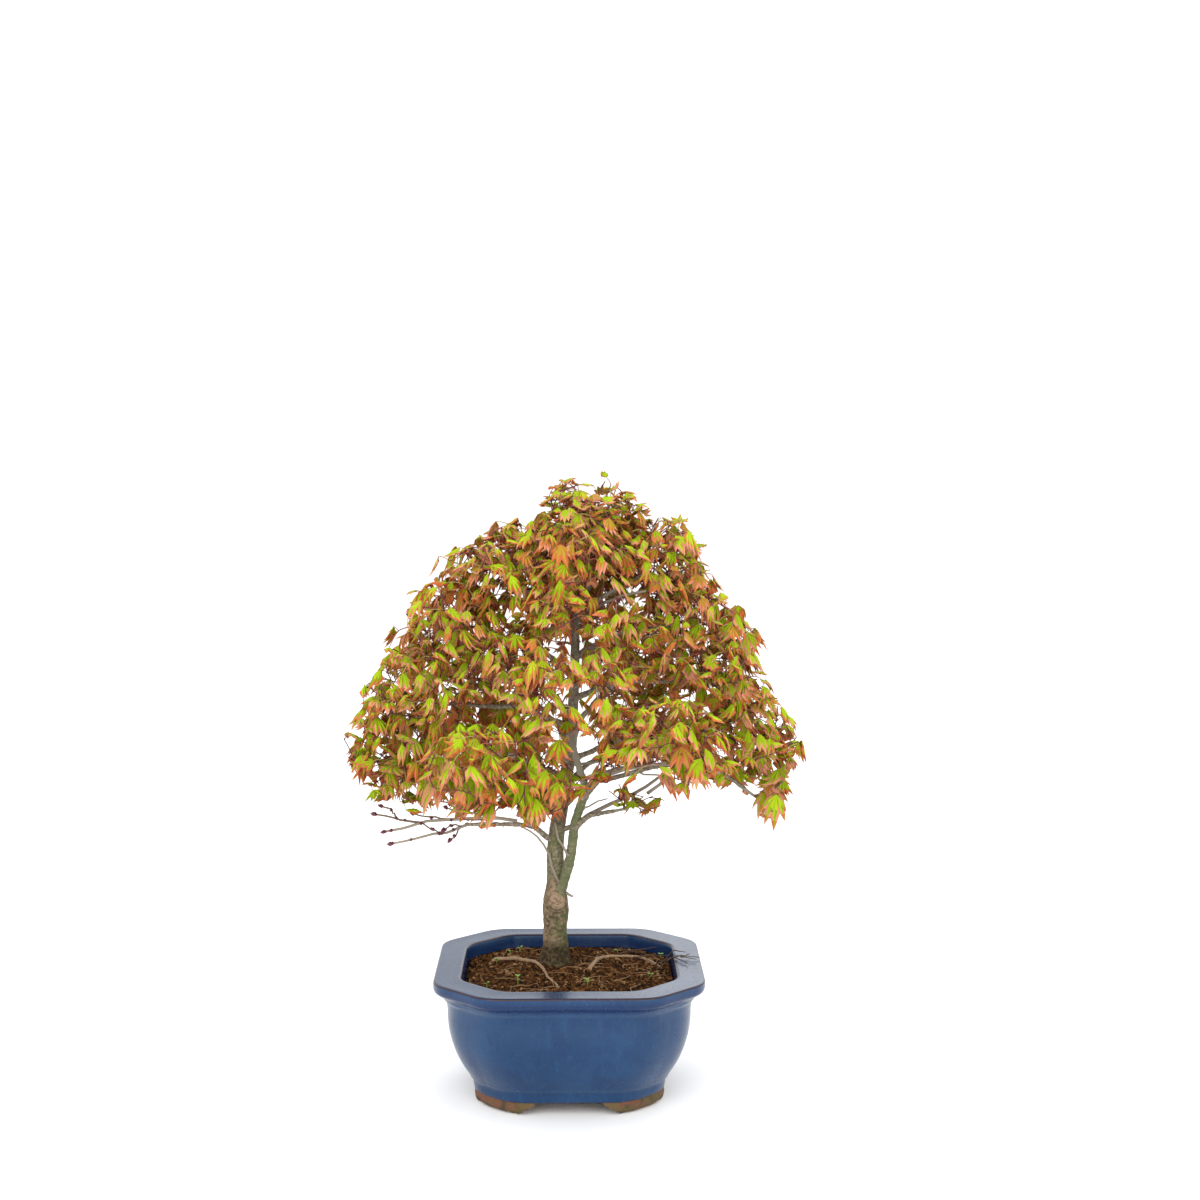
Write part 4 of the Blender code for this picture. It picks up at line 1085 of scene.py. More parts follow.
def make_granules(soil):
    """Crumbs of fired clay soil: icosahedra with their corners moved at random, sunk in the bed.

    A copy's point is the shape's point times three random sizes, turned at random, plus its place.
    """
    dice = np.random.default_rng(71)
    surfaces = []
    for i, (tone, _) in enumerate(GRANULE_TONES):
        surfaces.append(plain_finish(f"Soil granule {i + 1}", tone, 0.95, 0.1, 0.6, 0.15))
    shape, shape_faces = pebble()
    x, y = soil_places(dice, soil.granules)
    count = len(x)
    size = soil.size / MM * dice.lognormal(0, 0.36, count) * 0.5
    size = np.minimum(size, LARGEST_GRANULE)
    z = soil_height(x, y) - size * 0.65 + dice.uniform(-0.75, 0.45, count)
    jitter = 1 + dice.uniform(-0.22, 0.22, (count, len(shape), 1))
    grains = shape[None] * jitter * (size[:, None] * dice.uniform(0.7, 1.15, (count, 3)))[:, None]
    grains = np.einsum("nij,npj->npi", random_turns(dice, count), grains)
    grains += np.stack([x, y, z], -1)[:, None]
    tone = dice.choice(len(GRANULE_TONES), count, p=[share for _, share in GRANULE_TONES])
    faces = repeated(shape_faces, count, len(shape))
    return add_piece("soil_granules", grains, [faces], surfaces, "soil", ["soil"],
                     finish=[np.repeat(tone, len(shape_faces))], smooth_shading=False)


def on_soil(route, count, lift):
    """A smooth path through flat points, laid on the soil at this lift."""
    path = smooth(route, count)
    return np.column_stack([path, soil_height(*path.T) + lift])


def make_rootlets(soil, surface):
    """Fine tan roots that wander over the soil: short paths whose heading turns at random."""
    dice = np.random.default_rng(83)
    x, y = soil_places(dice, soil.rootlets, 0.15, 0.93)
    count, stations = len(x), 12
    heading = dice.uniform(0, TURN, (count, 1))
    heading = heading + np.cumsum(dice.normal(0, 0.38, (count, stations)), 1)
    step = dice.uniform(0.5, 1.9, (count, 1))
    path = np.empty((count, stations, 3))
    path[..., 0] = x[:, None] + np.cumsum(np.cos(heading) * step, 1)
    path[..., 1] = y[:, None] + np.cumsum(np.sin(heading) * step, 1)
    inside = np.minimum(1, 0.95 / np.maximum(soil_share(path[..., 0], path[..., 1]), 1e-6))
    path[..., :2] = SEAT + (path[..., :2] - SEAT) * inside[..., None]
    hump = np.sin(np.linspace(0, math.pi, stations)) * dice.uniform(0.3, 1.3, (count, 1))
    path[..., 2] = soil_height(path[..., 0], path[..., 1]) + 0.35 + hump
    radii = dice.uniform(0.13, 0.34, (count, 1)) * np.linspace(1, 0.45, stations)
    points, faces = tubes(path, radii, 5)
    return add_piece("rootlets", points, faces, [surface], "soil", ["soil"])


SEEDLINGS = (  # places and heights of small weeds in the soil
    (-46.6, -28.4, 2.2), (-29.1, -24.7, 5.2), (10.6, -27.3, 3.6), (-42.8, 21.9, 2.0),
    (-29.9, 46.0, 2.6), (28.9, 44.1, 1.8), (54.6, 33.5, 2.4), (-36.0, 40.7, 2.0), (47.0, -8.0, 1.6),
)


def make_seedlings(surface):
    """Tiny weeds: a thin stem with three or five round leaves.

    A leaf is a grid over its length s and width w: it is as wide as about sin(pi s), to the power
    0.8, and arches up by s - s².
    """
    dice = np.random.default_rng(97)
    stems, blades = [], []
    s, w = np.meshgrid(np.linspace(0, 1, 6), np.linspace(-1, 1, 4), indexing="ij")
    for x, y, tall in SEEDLINGS:
        foot = np.array((x, y, float(soil_height(x, y)) + 0.1))
        lean = dice.normal(0, 0.12, 2) * tall
        top = foot + (*lean, tall)
        stems.append(np.linspace(foot, top, 5))
        for i in range(5 if tall > 3 else 3):
            at = foot + (top - foot) * (1.0 if i < 3 else 0.55)
            turn = i * 2.3 + dice.uniform(0, 1)
            out = np.array((math.cos(turn), math.sin(turn), dice.uniform(0.1, 0.7)))
            across = np.array((-math.sin(turn), math.cos(turn), 0))
            length = dice.uniform(1.5, 2.4)
            wide = 0.42 * length * np.sin(math.pi * (0.08 + 0.92 * s)) ** 0.8 * w
            arch = (s - s * s) * length * 0.35
            blade = at + out * (s * length)[..., None] + across * wide[..., None]
            blades.append(blade + UP * arch[..., None])
    stems = np.array(stems)
    radii = np.full(stems.shape[:2], 0.22)
    stem_points, stem_faces = tubes(stems, radii, 5)
    blades = np.array(blades)
    blade_faces = repeated(grid_faces(*s.shape, round_columns=False), len(blades), s.size)
    blade_faces = blade_faces + len(stem_points)
    points = np.concatenate([stem_points, blades.reshape(-1, 3)])
    return add_piece("seedlings", points, [*stem_faces, blade_faces], [surface], "soil", ["soil"])


DRY_TWIGS = (  # stray dry twigs over the right ledge and on the soil, each through three points
    ((50.0, 15.0, 66.3), (62.0, 4.0, 74.3), (73.5, -2.2, 74.4)),
    ((56.0, 22.0, 66.8), (61.5, 18.5, 73.8), (68.2, 14.0, 74.2)),
    ((60.5, 5.0, 73.9), (64.5, -2.5, 74.2), (68.5, -9.4, 74.0)),
    ((51.0, 7.0, 65.8), (62.0, 6.0, 73.9), (76.0, 2.5, 74.2)),
    ((65.0, 3.2, 74.0), (68.0, 5.5, 74.4), (70.5, 9.5, 74.6)),
    ((30.0, 40.0, 66.4), (41.0, 44.0, 68.0), (53.0, 45.0, 69.0)),
    ((22.0, 48.0, 67.2), (34.0, 43.5, 67.6), (46.0, 36.0, 67.4)),
    ((38.0, 30.0, 66.7), (49.0, 29.0, 68.2), (60.0, 25.0, 69.2)),
)


def make_dry_twigs(surface):
    """Thin dry twigs, each with a little kink at every station."""
    dice = np.random.default_rng(101)
    count = 9
    fade = np.sin(np.linspace(0, math.pi, count))[:, None]
    paths = [smooth(route, count) + fade * dice.normal(0, 0.22, (count, 3)) for route in DRY_TWIGS]
    radii = np.linspace(0.4, 0.2, count)[None].repeat(len(paths), 0)
    points, faces = tubes(np.array(paths), radii, 6)
    return add_piece("dry_twigs", points, faces, [surface], "soil", ["soil"])


def make_surface_root(name, bark):
    """A root that lies on the soil, thinner towards its tip, with bends and knots in its skin."""
    count = 150
    path = on_soil(SURFACE_ROOTS[name], count, 0)
    radius = np.linspace(*ROOT_RADIUS, count)
    path[:, 2] += radius * 0.35 + 0.45
    path[:, :2] += np.stack([grain(path, 4.0, 31), grain(path, 4.0, 32)], 1) * 0.5
    radius = radius * (0.8 + 0.14 * grain(path, 3.0, 33))
    fade = blend(np.arange(count), count, count - 7) * blend(np.arange(count), 0, 7)
    path[:, 2] -= (1 - fade) * 1.2
    rings, out = tube_rings(path[None], radius[None], 16)
    rings = rings + out * (0.16 * rough_grain(rings, 1.6, 34))[..., None]
    points, faces = close_tubes(rings, path[None, 0], path[None, -1])
    return add_piece(name + "_bark", points, faces, [bark], "bark", [name])


# ---------------------------------------------------------------- limbs


def at_height(stations, z):
    """The station of a limb at this height."""
    path = smooth(stations, 200)
    return path[np.abs(path[:, 2] - z).argmin()]


def bough_path(name):
    """From the bearing limb's axis to the edge of the mass, with an arch and small kinks."""
    bearer, height, by = BOUGHS[name]
    start = at_height(TRUNK if bearer == "trunk" else SECOND_STEM, height)[:3]
    x, y, z, radius = MASSES[name]
    centre = np.array((x, y, z), float)
    back = (np.array(by[-1], float) if by else start) - centre
    tip = centre + back / np.linalg.norm(back / (1, 1, FLATTENING)) * radius * ENTRY
    if not by:
        lift = ARCH * np.linalg.norm(tip - start)
        by = (start * 0.55 + tip * 0.45 + (0, 0, lift),)
    path = smooth([start, *by, tip], 5 + len(by))
    taper = np.linspace(*BOUGH_RADIUS, len(path))
    rng = random.Random("bough " + name)
    kinks = np.array([[rng.uniform(-1, 1) * WANDER for _ in range(3)] for _ in path])
    kinks[:2] = kinks[-2:] = 0
    return np.column_stack([path + kinks, taper])


def limb_stations():
    """Every limb's stations by name."""
    stations = {"trunk": np.array(TRUNK), "second_stem": np.array(SECOND_STEM)}
    stations.update((name, bough_path(name)) for name in BOUGHS)
    return stations


TRUNK_SCARS = (
    79, 84, 119, 124, 129, 137, 147, 153, 161, 170, 178, 188, 200, 214, 229, 243, 257, 270,
)
STEM_SCARS = (114, 121, 128, 136, 145, 152, 160, 169, 180)
KNOTS = (  # old pruning scars: height, direction round the limb in degrees, size
    (98, 232, 3.0), (92, 200, 2.6), (121, 245, 1.8), (133, 300, 1.6), (84, 290, 2.2),
)
BURL = (107.0, 277, 5.0, 2.2)  # the graft's knob: height, direction in degrees, half width, depth
BURL_WRINKLES = (1.15, 1.55)  # where wrinkles run round it, in half widths
FURROWS_END = (90, 76)  # heights between which the foot's furrows come in, downwards
FLAKES_START = (72, 82)
FLAKES_END = (118, 110)
RINGS_START = (108, 120)
LIMB_RELIEF = 0.26


def capped(values):
    """A skin's values at its points, and 0 for the two points that close its ends."""
    return np.concatenate([values.ravel(), [0, 0]])


def make_trunk(bark):
    """The trunk: its stations' radius, spread in root lobes at the foot, plus the bark's relief.

    The foot spreads further on its mossy left side. The relief is furrows along the trunk at its
    foot (the size of grain stretched upwards), raised flakes with cracks between them up to the
    graft, a knob with wrinkles round it there, and fine rings across the stem above.
    """
    path = smooth(TRUNK, 460)
    path = np.vstack([path[0] - (0, 0, 3, 0), path])
    z = path[:, 2]
    for axis in (0, 1):
        path[:, axis] += 0.35 * grain(path[:, :3], 16.0, 41 + axis) * blend(z, 70, 90)
    rings, out = tube_rings(path[None, :, :3], path[None, :, 3], 96)
    skin = rings[0]
    angle = np.arctan2(out[0, ..., 1], out[0, ..., 0])
    height = np.broadcast_to(z[:, None], angle.shape)
    radius = path[:, 3, None]

    above_soil = np.maximum(0, height - SOIL_TOP)
    lobes = 1 + 0.35 * np.cos(FLARE_LOBES * angle + 0.6)
    flare = radius * FLARE * lobes * np.exp(-above_soil / FLARE_HEIGHT)
    flare += 2.4 * np.maximum(0, np.cos(angle - 3.5)) ** 2 * np.exp(-above_soil / 6)

    furrow = 1 - np.abs(rough_grain(skin * (1, 1, 0.22), 2.6, 43))
    flakes = rough_grain(skin * (1, 1, 0.7), 4.2, 44)
    cracks = np.clip(1 - np.abs(flakes) * 7, 0, 1)
    plates = np.clip(flakes * 2.2, -1, 1)
    foot = blend(height, *FURROWS_END)
    graft = blend(height, *FLAKES_START) * blend(height, *FLAKES_END)
    above = blend(height, *RINGS_START)
    scars = sum(bump(height + 0.8 * np.sin(angle + level), level, 0.55) for level in TRUNK_SCARS)
    knots = np.zeros_like(height)
    for level, direction, size in KNOTS:
        turned = angle - math.radians(direction)
        off = np.hypot(height - level, (np.cos(turned) < 0.2) * 99 + 6 * np.sin(turned))
        knots += bump(off, size * 0.7, size * 0.3) * 0.8 - bump(off, 0, size * 0.4) * 0.6

    level, direction, wide, tall = BURL
    around = np.arccos(np.clip(np.cos(angle - math.radians(direction)), -1, 1)) * radius
    off = np.hypot(height - level, around)
    knob = tall * np.exp(-((off / wide) ** 2)) * (1 + 0.12 * np.sin(off * 5))
    wrinkles = sum(bump(off, wide * at, 0.5) for at in BURL_WRINKLES)
    wrinkles = wrinkles * blend(height, level + 2, level - 1)

    relief = foot * (furrow - 0.6) * 0.7 + graft * (plates * 0.75 - cracks * 0.9 + 0.2)
    relief -= 0.9 * wrinkles
    fine = 0.28 * rough_grain(skin * (1, 1, 0.6), 2.8, 45)
    relief += above * (fine + 0.55 * scars * (1 - 0.4 * above))
    relief += (foot + graft) * knots
    depth = bark.relief / MM * (0.35 + 0.65 * radius / 7.0)
    skin = skin + out[0] * (flare + knob + relief * depth)[..., None]

    crack = graft * cracks * 0.9 + foot * np.clip(0.45 - furrow, 0, 1) * 1.5
    crack = crack + above * np.clip(scars, 0, 1) * 0.35
    crack += np.clip(-knots * (foot + graft), 0, 1) + 0.8 * wrinkles
    points, faces = close_tubes(skin[None], path[None, 0, :3], path[None, -1, :3])
    surface = bark_finish("Trunk bark", bark, "trunk")
    return add_piece("trunk_bark", points, faces, [surface], "bark", ["trunk"],
                     crack=capped(np.clip(crack, 0, 1)), knob=capped(knob / tall))


def limb_skin(path, sides, seed, scars, collar):
    """Rings of one smooth limb, with scars across it and fine grain.

    It widens where it leaves its bearer, by the collar's share of its radius at first, less with
    the length along it as e to a negative power.
    """
    rings, out = tube_rings(path[None, :, :3], path[None, :, 3], sides)
    gone = lengths_along(path[:, :3])
    widened = path[:, 3] * collar * np.exp(-gone / (1.6 * path[0, 3]))
    ring_marks = sum(bump(gone, at, 0.5) for at in scars)
    grains = rough_grain(rings[0], 2.2, seed) * 0.9
    relief = widened[:, None] + LIMB_RELIEF * (grains + 0.9 * ring_marks[:, None])
    marks = np.broadcast_to(np.clip(ring_marks, 0, 1)[:, None] * 0.4, grains.shape)
    return rings[0] + out[0] * relief[..., None], marks


def make_second_stem(bark):
    """The second stem, with its ringed scars."""
    path = smooth(SECOND_STEM, 260)
    gone = lengths_along(path[:, :3])
    scars = [gone[np.abs(path[:, 2] - level).argmin()] for level in STEM_SCARS]
    skin, marks = limb_skin(path, 48, 51, scars, 0.3)
    points, faces = close_tubes(skin[None], path[None, 0, :3], path[None, -1, :3])
    surface = bark_finish("Stem bark", bark, "stem")
    return add_piece("second_stem_bark", points, faces, [surface], "bark", ["second_stem"],
                     crack=capped(marks))


def make_boughs(bark):
    """Every bough as a smooth tube with nodes every few millimetres, joined into one piece."""
    count = 110
    fade = np.sin(np.linspace(0, math.pi, count))[:, None]
    skins, marks, firsts, lasts = [], [], [], []
    for number, name in enumerate(BOUGHS):
        dice = np.random.default_rng([5, number])
        path = smooth(bough_path(name), count)
        path[:, :3] += np.stack([grain(path[:, :3], 8.0, 60 + i) for i in range(3)], 1) * 0.8 * fade
        length = lengths_along(path[:, :3])[-1]
        scars = np.cumsum(dice.uniform(5, 12, 30))
        path[:, 3] *= 0.85
        skin, mark = limb_skin(path, 18, 70 + number, scars[scars < length], 1.0)
        skins.append(skin)
        marks.append(capped(mark))
        firsts.append(path[0, :3])
        lasts.append(path[-1, :3])
    points, faces = close_tubes(np.array(skins), np.array(firsts), np.array(lasts))
    surface = bark_finish("Bough bark", bark, "bough")
    nodes = ["bough_" + name for name in BOUGHS]
    return add_piece("bough_bark", points, faces, [surface], "bark", nodes,
                     crack=np.concatenate(marks))


# ---------------------------------------------------------------- foliage


SQUASH = np.array((1, 1, 1 / FLATTENING))
CELLS = {**MASSES, **CURTAINS}
CENTRES = np.array([cell[:3] for cell in CELLS.values()], float) * SQUASH
RADII = np.array([cell[3] for cell in CELLS.values()], float)
FOLIAGE_NODES = [node for node in NODES if node.startswith("foliage_")]
TWIG_NODES = [node for node in NODES if node.startswith("twigs_")]

OUTLINE = (  # the crown's outline: height, and how far it reaches on the left and on the right
    (150, 104, 120), (163, 110, 124), (175, 121, 128), (190, 131, 136), (205, 135, 136),
    (216, 129, 128), (230, 125, 117), (245, 110, 110), (260, 103, 106), (275, 97, 102),
    (288, 92, 90), (300, 76, 80), (310, 68, 78), (320, 50, 76), (330, 36, 60), (338, 20, 44),
    (346, 14, 34), (352, 4, 28),
)
OUTLINE_DEPTH = 0.84  # the crown's depth as a share of its width
HEM = (  # the crown's lower edge: place from left to right, and height
    (-125, 177), (-117, 172), (-107, 168), (-85, 162), (-72, 162), (-60, 158), (-48, 151),
    (-38, 160), (-28, 162), (-16, 150), (-5, 150), (4, 172), (18, 176), (30, 158), (50, 156),
    (57, 166), (84, 167), (88, 176), (100, 172), (105, 151), (124, 151), (132, 182),
)
HEM_RISE = 0.16  # how much higher the crown's hem is, for each millimetre nearer the front
OPENINGS = (  # where the crown is open: place, height, half width, half height and how far back
    (9, 192, 8, 11, 200),
    (37, 182.5, 24, 4.5, 200),
    (46, 176, 12, 6, 200),
    (12.5, 357, 7, 17, 200),
    (5, 256, 5, 12, -6),
    (20, 286, 13, 5, -6),
    (8, 222, 8, 11, -6),
)
OPEN_SHARE = 0.85  # the share of an opening's leaves that is missing


def far_squared(points):
    """For each point and mass, the squared distance from the middle of the flattened ball."""
    off = points[..., None, :] * SQUASH - CENTRES
    return (off**2).sum(-1)


def in_crown(points, reach):
    """Whether points are in any flattened ball that is larger by reach."""
    return (far_squared(points) < (RADII + reach) ** 2).any(-1)


def crown_depth(points):
    """How deep points are in the crown: its half width there less their way from its axis."""
    heights, lefts, rights = np.array(OUTLINE).T
    left = np.interp(points[..., 2], heights, lefts)
    right = np.interp(points[..., 2], heights, rights)
    side = np.where(points[..., 0] < 0, left, right)
    width = (left + right) / 2
    return width * (1 - np.hypot(points[..., 0] / side, points[..., 1] / (width * OUTLINE_DEPTH)))


def above_hem(points):
    """Whether points are above the crown's lower edge at their place."""
    return points[..., 2] > np.interp(points[..., 0], *np.array(HEM).T) - HEM_RISE * points[..., 1]


def in_opening(points):
    """Whether points are in one of the crown's openings, which the front looks through."""
    seen = points[..., 2] + HEM_RISE * points[..., 1]
    inside = np.zeros(points.shape[:-1], bool)
    for x, z, wide, high, back in OPENINGS:
        near = ((points[..., 0] - x) / wide) ** 2 + ((seen - z) / high) ** 2 < 1
        inside |= near & (points[..., 1] < back)
    return inside


class Growth:
    """One mass as it grows: twigs to ends all over its cell, each from the knot with least detour.

    A node, where two leaves spring, is a row of its place, its twig's direction, the leaves' turn
    round the twig, its number from the twig's tip and the twig's number.
    """

    def __init__(self, name, path, sprays):
        self.name = name
        self.dice = np.random.default_rng(list(name.encode()))
        self.own = list(CELLS).index(name)
        self.centre = np.array(CELLS[name][:3], float)
        self.radius = float(RADII[self.own])
        self.twigs, self.thick, self.nodes = [], [], []
        self.knots, self.headings, self.girths = [], [], []
        tip = path[-1, :3]
        heading = unit(path[-1, :3] - path[-2, :3])
        stem = tip + heading * min(STEM_SHARE * self.radius, STEM_LENGTH)
        self.add_twig(tip - heading, stem, heading, TWIG_RADIUS[0])
        high = 1 + TOP_SHARE * blend(self.centre[2], *TOP_RISE)
        count = max(FEWEST_SPRAYS, round(sprays * high * self.radius**2 / 100))
        ends = self.spread_ends(HANGING_SPRAYS if name == "hanging_right" else count)
        order = np.argsort(np.linalg.norm(ends - stem, axis=1))
        for end in ends[order]:
            self.reach_for(end)

    def spread_ends(self, count):
        """Ends for the twigs: each is the random point, of several, furthest from the rest."""
        ends = np.empty((0, 3))
        while len(ends) < count:
            tries = self.dice.uniform(-1, 1, (TRIES, 3))
            tries = tries[(tries**2).sum(1) <= 1] * END_SPREAD + (0, 0, END_LIFT)
            tries = self.centre + tries * self.radius / SQUASH
            room = far_squared(tries) - RADII**2
            inside = (crown_depth(tries) > END_DEPTH) & above_hem(tries - (0, 0, END_ABOVE_HEM))
            inside &= ~in_opening(tries)
            tries = tries[inside & (room[:, self.own] <= room.min(1) + OVERLAP)]
            if not len(tries):
                continue
            gaps = np.linalg.norm(tries[:, None] - ends[None], axis=2).min(1, initial=np.inf)
            ends = np.vstack([ends, tries[gaps.argmax()]])
        return ends

    def reach_for(self, end):
        """A twig to this end from the knot with the least detour."""
        knots, headings = np.array(self.knots), np.array(self.headings)
        reach = end - knots
        length = np.linalg.norm(reach, axis=1)
        cost = length * (1 + TWIG_FORWARD) - TWIG_FORWARD * (reach * headings).sum(1)
        best = cost.argmin()
        if length[best] >= TWIG_LEAST:
            self.add_twig(knots[best], end, headings[best], self.girths[best] * TWIG_ROOT)

    def add_twig(self, start, end, heading, girth):
        """A twig that sets out along its bearer's heading and bends towards its end.

        Its path is start + reach t + bend (t - t²), with the bend towards the heading.
        """
        t = np.linspace(0, 1, TWIG_STATIONS)[:, None]
        reach = end - start
        length = np.linalg.norm(reach)
        across = heading - reach / length * (heading @ reach) / length
        bend = across * length * TWIG_BEND + self.dice.normal(0, 0.06, 3) * length
        path = start + reach * t + bend * t * (1 - t)
        girth = max(girth, TWIG_RADIUS[1])
        tip_girth = max(girth * TWIG_TAPER, TWIG_RADIUS[1] * 0.85)
        self.twigs.append(path)
        self.thick.append(np.linspace(girth, tip_girth, TWIG_STATIONS))
        turn = self.dice.uniform(0, math.pi)
        for i in range(1 + max(0, int((length - TWIG_LEAST) / INTERNODE))):
            share = 1 - i * INTERNODE / length
            at = share * (TWIG_STATIONS - 1)
            low = min(int(at), TWIG_STATIONS - 2)
            place = path[low] + (path[low + 1] - path[low]) * (at - low)
            along = unit(path[low + 1] - path[low])
            self.nodes.append((*place, *along, turn + i * math.pi / 2, i, len(self.twigs)))
            self.knots.append(place - along * KNOT_BACK)
            self.headings.append(along)
            self.girths.append(tip_girth if i == 0 else girth * (1 - share * (1 - TWIG_TAPER)))


LOBES = ((-76, 0.72), (-38, 0.93), (0, 1.0), (38, 0.93), (76, 0.72))  # degrees, relative length
SMALL_LOBES = ((-118, 0.38), (118, 0.38))
SINUS = 0.27  # how far out two lobes part
LOBE_STATIONS = (  # share of the lobe's length, and half widths of the lobe and its green rib
    (0.45, 0.165, 0.077),
    (0.73, 0.085, 0.028),
)
HEART, GREEN, MARGIN, TIP = range(4)  # parts of a leaf, each with a colour of its own


def leaf_pattern():
    """One leaf's points, triangles and four-sided faces, and the part that each face is in.

    A point is its lobe's angle, distance, sideways share, lobe length and lobe number. Point 0 is
    the middle. Neighbouring lobes share the notch between them. A lobe has five points at its
    lower station, five at its upper one and its tip.
    """
    rows = [(0, 0, 0, 1, 2)]
    angles = [SMALL_LOBES[0][0], *(angle for angle, _ in LOBES), SMALL_LOBES[1][0]]
    notches = []
    for i, (a, b) in enumerate(zip(angles, angles[1:])):
        outer = i in (0, 5)
        notches.append(len(rows))
        rows.append(((a + b) / 2, SINUS * (0.55 if outer else 0.9), 0, 1, min(max(i, 0), 4)))
    faces, quads, kinds, quad_kinds = [], [], [], []
    for number, (angle, length) in enumerate(LOBES):
        right, left = notches[number], notches[number + 1]
        first = len(rows)
        for along, wide, rib in LOBE_STATIONS:
            rows += [(angle, along, w, length, number) for w in (-wide, -rib, 0, rib, wide)]
        rows.append((angle, 1.0, 0, length, number))
        r0, r1, m0, l1, l0, r2, r3, m1, l3, l2, tip = range(first, first + 11)
        faces += [(0, m0, l1), (0, r1, m0), (0, l1, left), (0, right, r1)]
        faces += [(left, l1, l0), (right, r0, r1)]
        kinds += [HEART, HEART, GREEN if number < 4 else MARGIN, MARGIN, MARGIN, MARGIN]
        quads += [(m0, m1, l3, l1), (m0, r1, r3, m1), (l1, l3, l2, l0), (r1, r0, r2, r3)]
        quad_kinds += [GREEN, HEART, MARGIN, MARGIN]
        faces += [(m1, tip, l3), (m1, r3, tip), (l3, tip, l2), (r3, r2, tip)]
        kinds += [GREEN, TIP, TIP, TIP]
    for side, (angle, length) in enumerate(SMALL_LOBES):
        first = len(rows)
        rows += [(angle, 0.55, 0, length, side * 4), (angle, 1.0, 0, length, side * 4),
                 (angle * 1.28, 0.3, 0, length, side * 4)]
        middle, tip, back = range(first, first + 3)
        notch = notches[-side]
        faces += [(middle, notch, 0), (middle, tip, notch), (back, middle, 0), (back, tip, middle)]
        kinds += [GREEN, MARGIN, GREEN, MARGIN]
    return np.array(rows, float), *map(np.array, (faces, quads, kinds, quad_kinds))


def leaf_points(pattern, leaves):
    """The points of every leaf at once.

    A point is the leaf's middle + size * (L d (t - 0.3 g t²) + L a w + n (curl - fold |w|)), less
    0.7 g t² L size straight down. L is the lobe's length, d its direction in the leaf's plane, a
    is square to it, n is the leaf's normal, t the share of the lobe, w the sideways share and g
    the leaf's droop. The curl grows as the square of t beyond 0.5.
    """
    angle, t, w, length, number = pattern.T
    lobe = number.astype(int)
    angle = np.radians(angle)[None] * leaves["open"][:, None] + leaves["sway"][:, lobe]
    length = length[None] * leaves["lobes"][:, lobe]
    droop = leaves["droop"][:, None] * (1 + 0.5 * leaves["sway"][:, lobe])
    c, s = np.cos(angle)[..., None], np.sin(angle)[..., None]
    u, v, n = (leaves[key][:, None] for key in ("ahead", "across", "normal"))
    d = c * u + s * v
    a = -s * u + c * v
    reach = length * (t - 0.3 * droop * t**2)
    wide = w * leaves["width"][:, None]
    fold = leaves["fold"][:, None]
    curl = leaves["curl"][:, None] * np.maximum(0, t - 0.5) ** 2 * length
    lift = curl - fold * np.abs(wide) - 0.1 * fold * ((w == 0) & (t < 0.35) & (t > 0))
    size = leaves["size"][:, None, None]
    points = d * reach[..., None] + a * (wide * length)[..., None] + n * lift[..., None]
    points = points - UP * (0.7 * droop * length * t**2)[..., None]
    return leaves["middle"][:, None] + size * points


def leaf_frames(dice, nodes, crown):
    """Where every leaf hangs, from the nodes: stalks, middles, directions, sizes and droops.

    Each node has a pair of leaves on opposite sides. A stalk leaves its twig sideways, forward and
    up, and sags: start + direction s - 0.28 s² down. A leaf's plane tips down as it hangs.
    """
    place, along = nodes[:, :3], unit(nodes[:, 3:6])
    turn, level = nodes[:, 6], nodes[:, 7]
    helper = unit(np.cross(along, UP + 1e-3))
    other = np.cross(along, helper)
    parts = []
    for spin in (turn, turn + math.pi):
        parts.append(helper * np.cos(spin)[:, None] + other * np.sin(spin)[:, None])
    out = np.concatenate(parts)
    place, along, level = (np.concatenate([part, part]) for part in (place, along, level))
    count = len(out)
    top = blend(place[:, 2], 318, 338)
    rise = dice.uniform(0.1, 0.75, count) + 0.5 * top
    heading = unit(out + along * dice.uniform(0.2, 1.0, (count, 1)) + UP * rise[:, None])
    age = np.where(level == 0, dice.uniform(0.6, 1.0, count), dice.uniform(0.7, 1.08, count))
    low = blend(place[:, 2], 235, 165)
    front = low * blend(place[:, 1], -30, -60)
    front = np.maximum(front, (place[:, 0] > 84) & (place[:, 2] < 170))
    size = crown.leaf / MM * age * (0.78 + 0.24 * low + 0.2 * front - 0.08 * top)
    stalk = crown.stalk / MM * dice.uniform(0.55, 1.4, count) * (0.6 + 0.4 * age)
    t = np.linspace(0, 1, 4)[None, :, None]
    path = place[:, None] + heading[:, None] * stalk[:, None, None] * t
    path = path - UP * 0.28 * stalk[:, None, None] * t**2
    flat = out + along * 0.5 + dice.normal(0, 0.35, (count, 3))
    flat[:, 2] = 0
    flat = unit(flat)
    pitch = np.radians(dice.uniform(-25, 60, count) - dice.uniform(0, 35, count) * top)
    ahead = flat * np.cos(pitch)[:, None] - UP * np.sin(pitch)[:, None]
    across = unit(np.cross(ahead, UP) + dice.normal(0, 0.28, (count, 3)))
    across = -unit(across - ahead * (across * ahead).sum(1, keepdims=True))
    return {
        "path": path,
        "middle": path[:, -1],
        "ahead": ahead,
        "across": across,
        "normal": np.cross(ahead, across),
        "size": size,
        "open": dice.uniform(0.3, 0.95, count) * (0.8 + 0.2 * age),
        "droop": dice.uniform(0.35, 1.35, count) * (1 - 0.5 * top),
        "fold": dice.uniform(0.35, 1.2, count),
        "width": dice.uniform(0.85, 1.2, count),
        "curl": dice.uniform(-0.4, 1.3, count),
        "sway": dice.normal(0, 0.11, (count, 5)),
        "lobes": dice.uniform(0.82, 1.12, (count, 5)),
        "level": level,
        "twig": np.tile(nodes[:, 8].astype(int), 2),
    }


def chosen(leaves, mask):
    """The leaves for which mask is true."""
    return {key: values[mask] for key, values in leaves.items()}


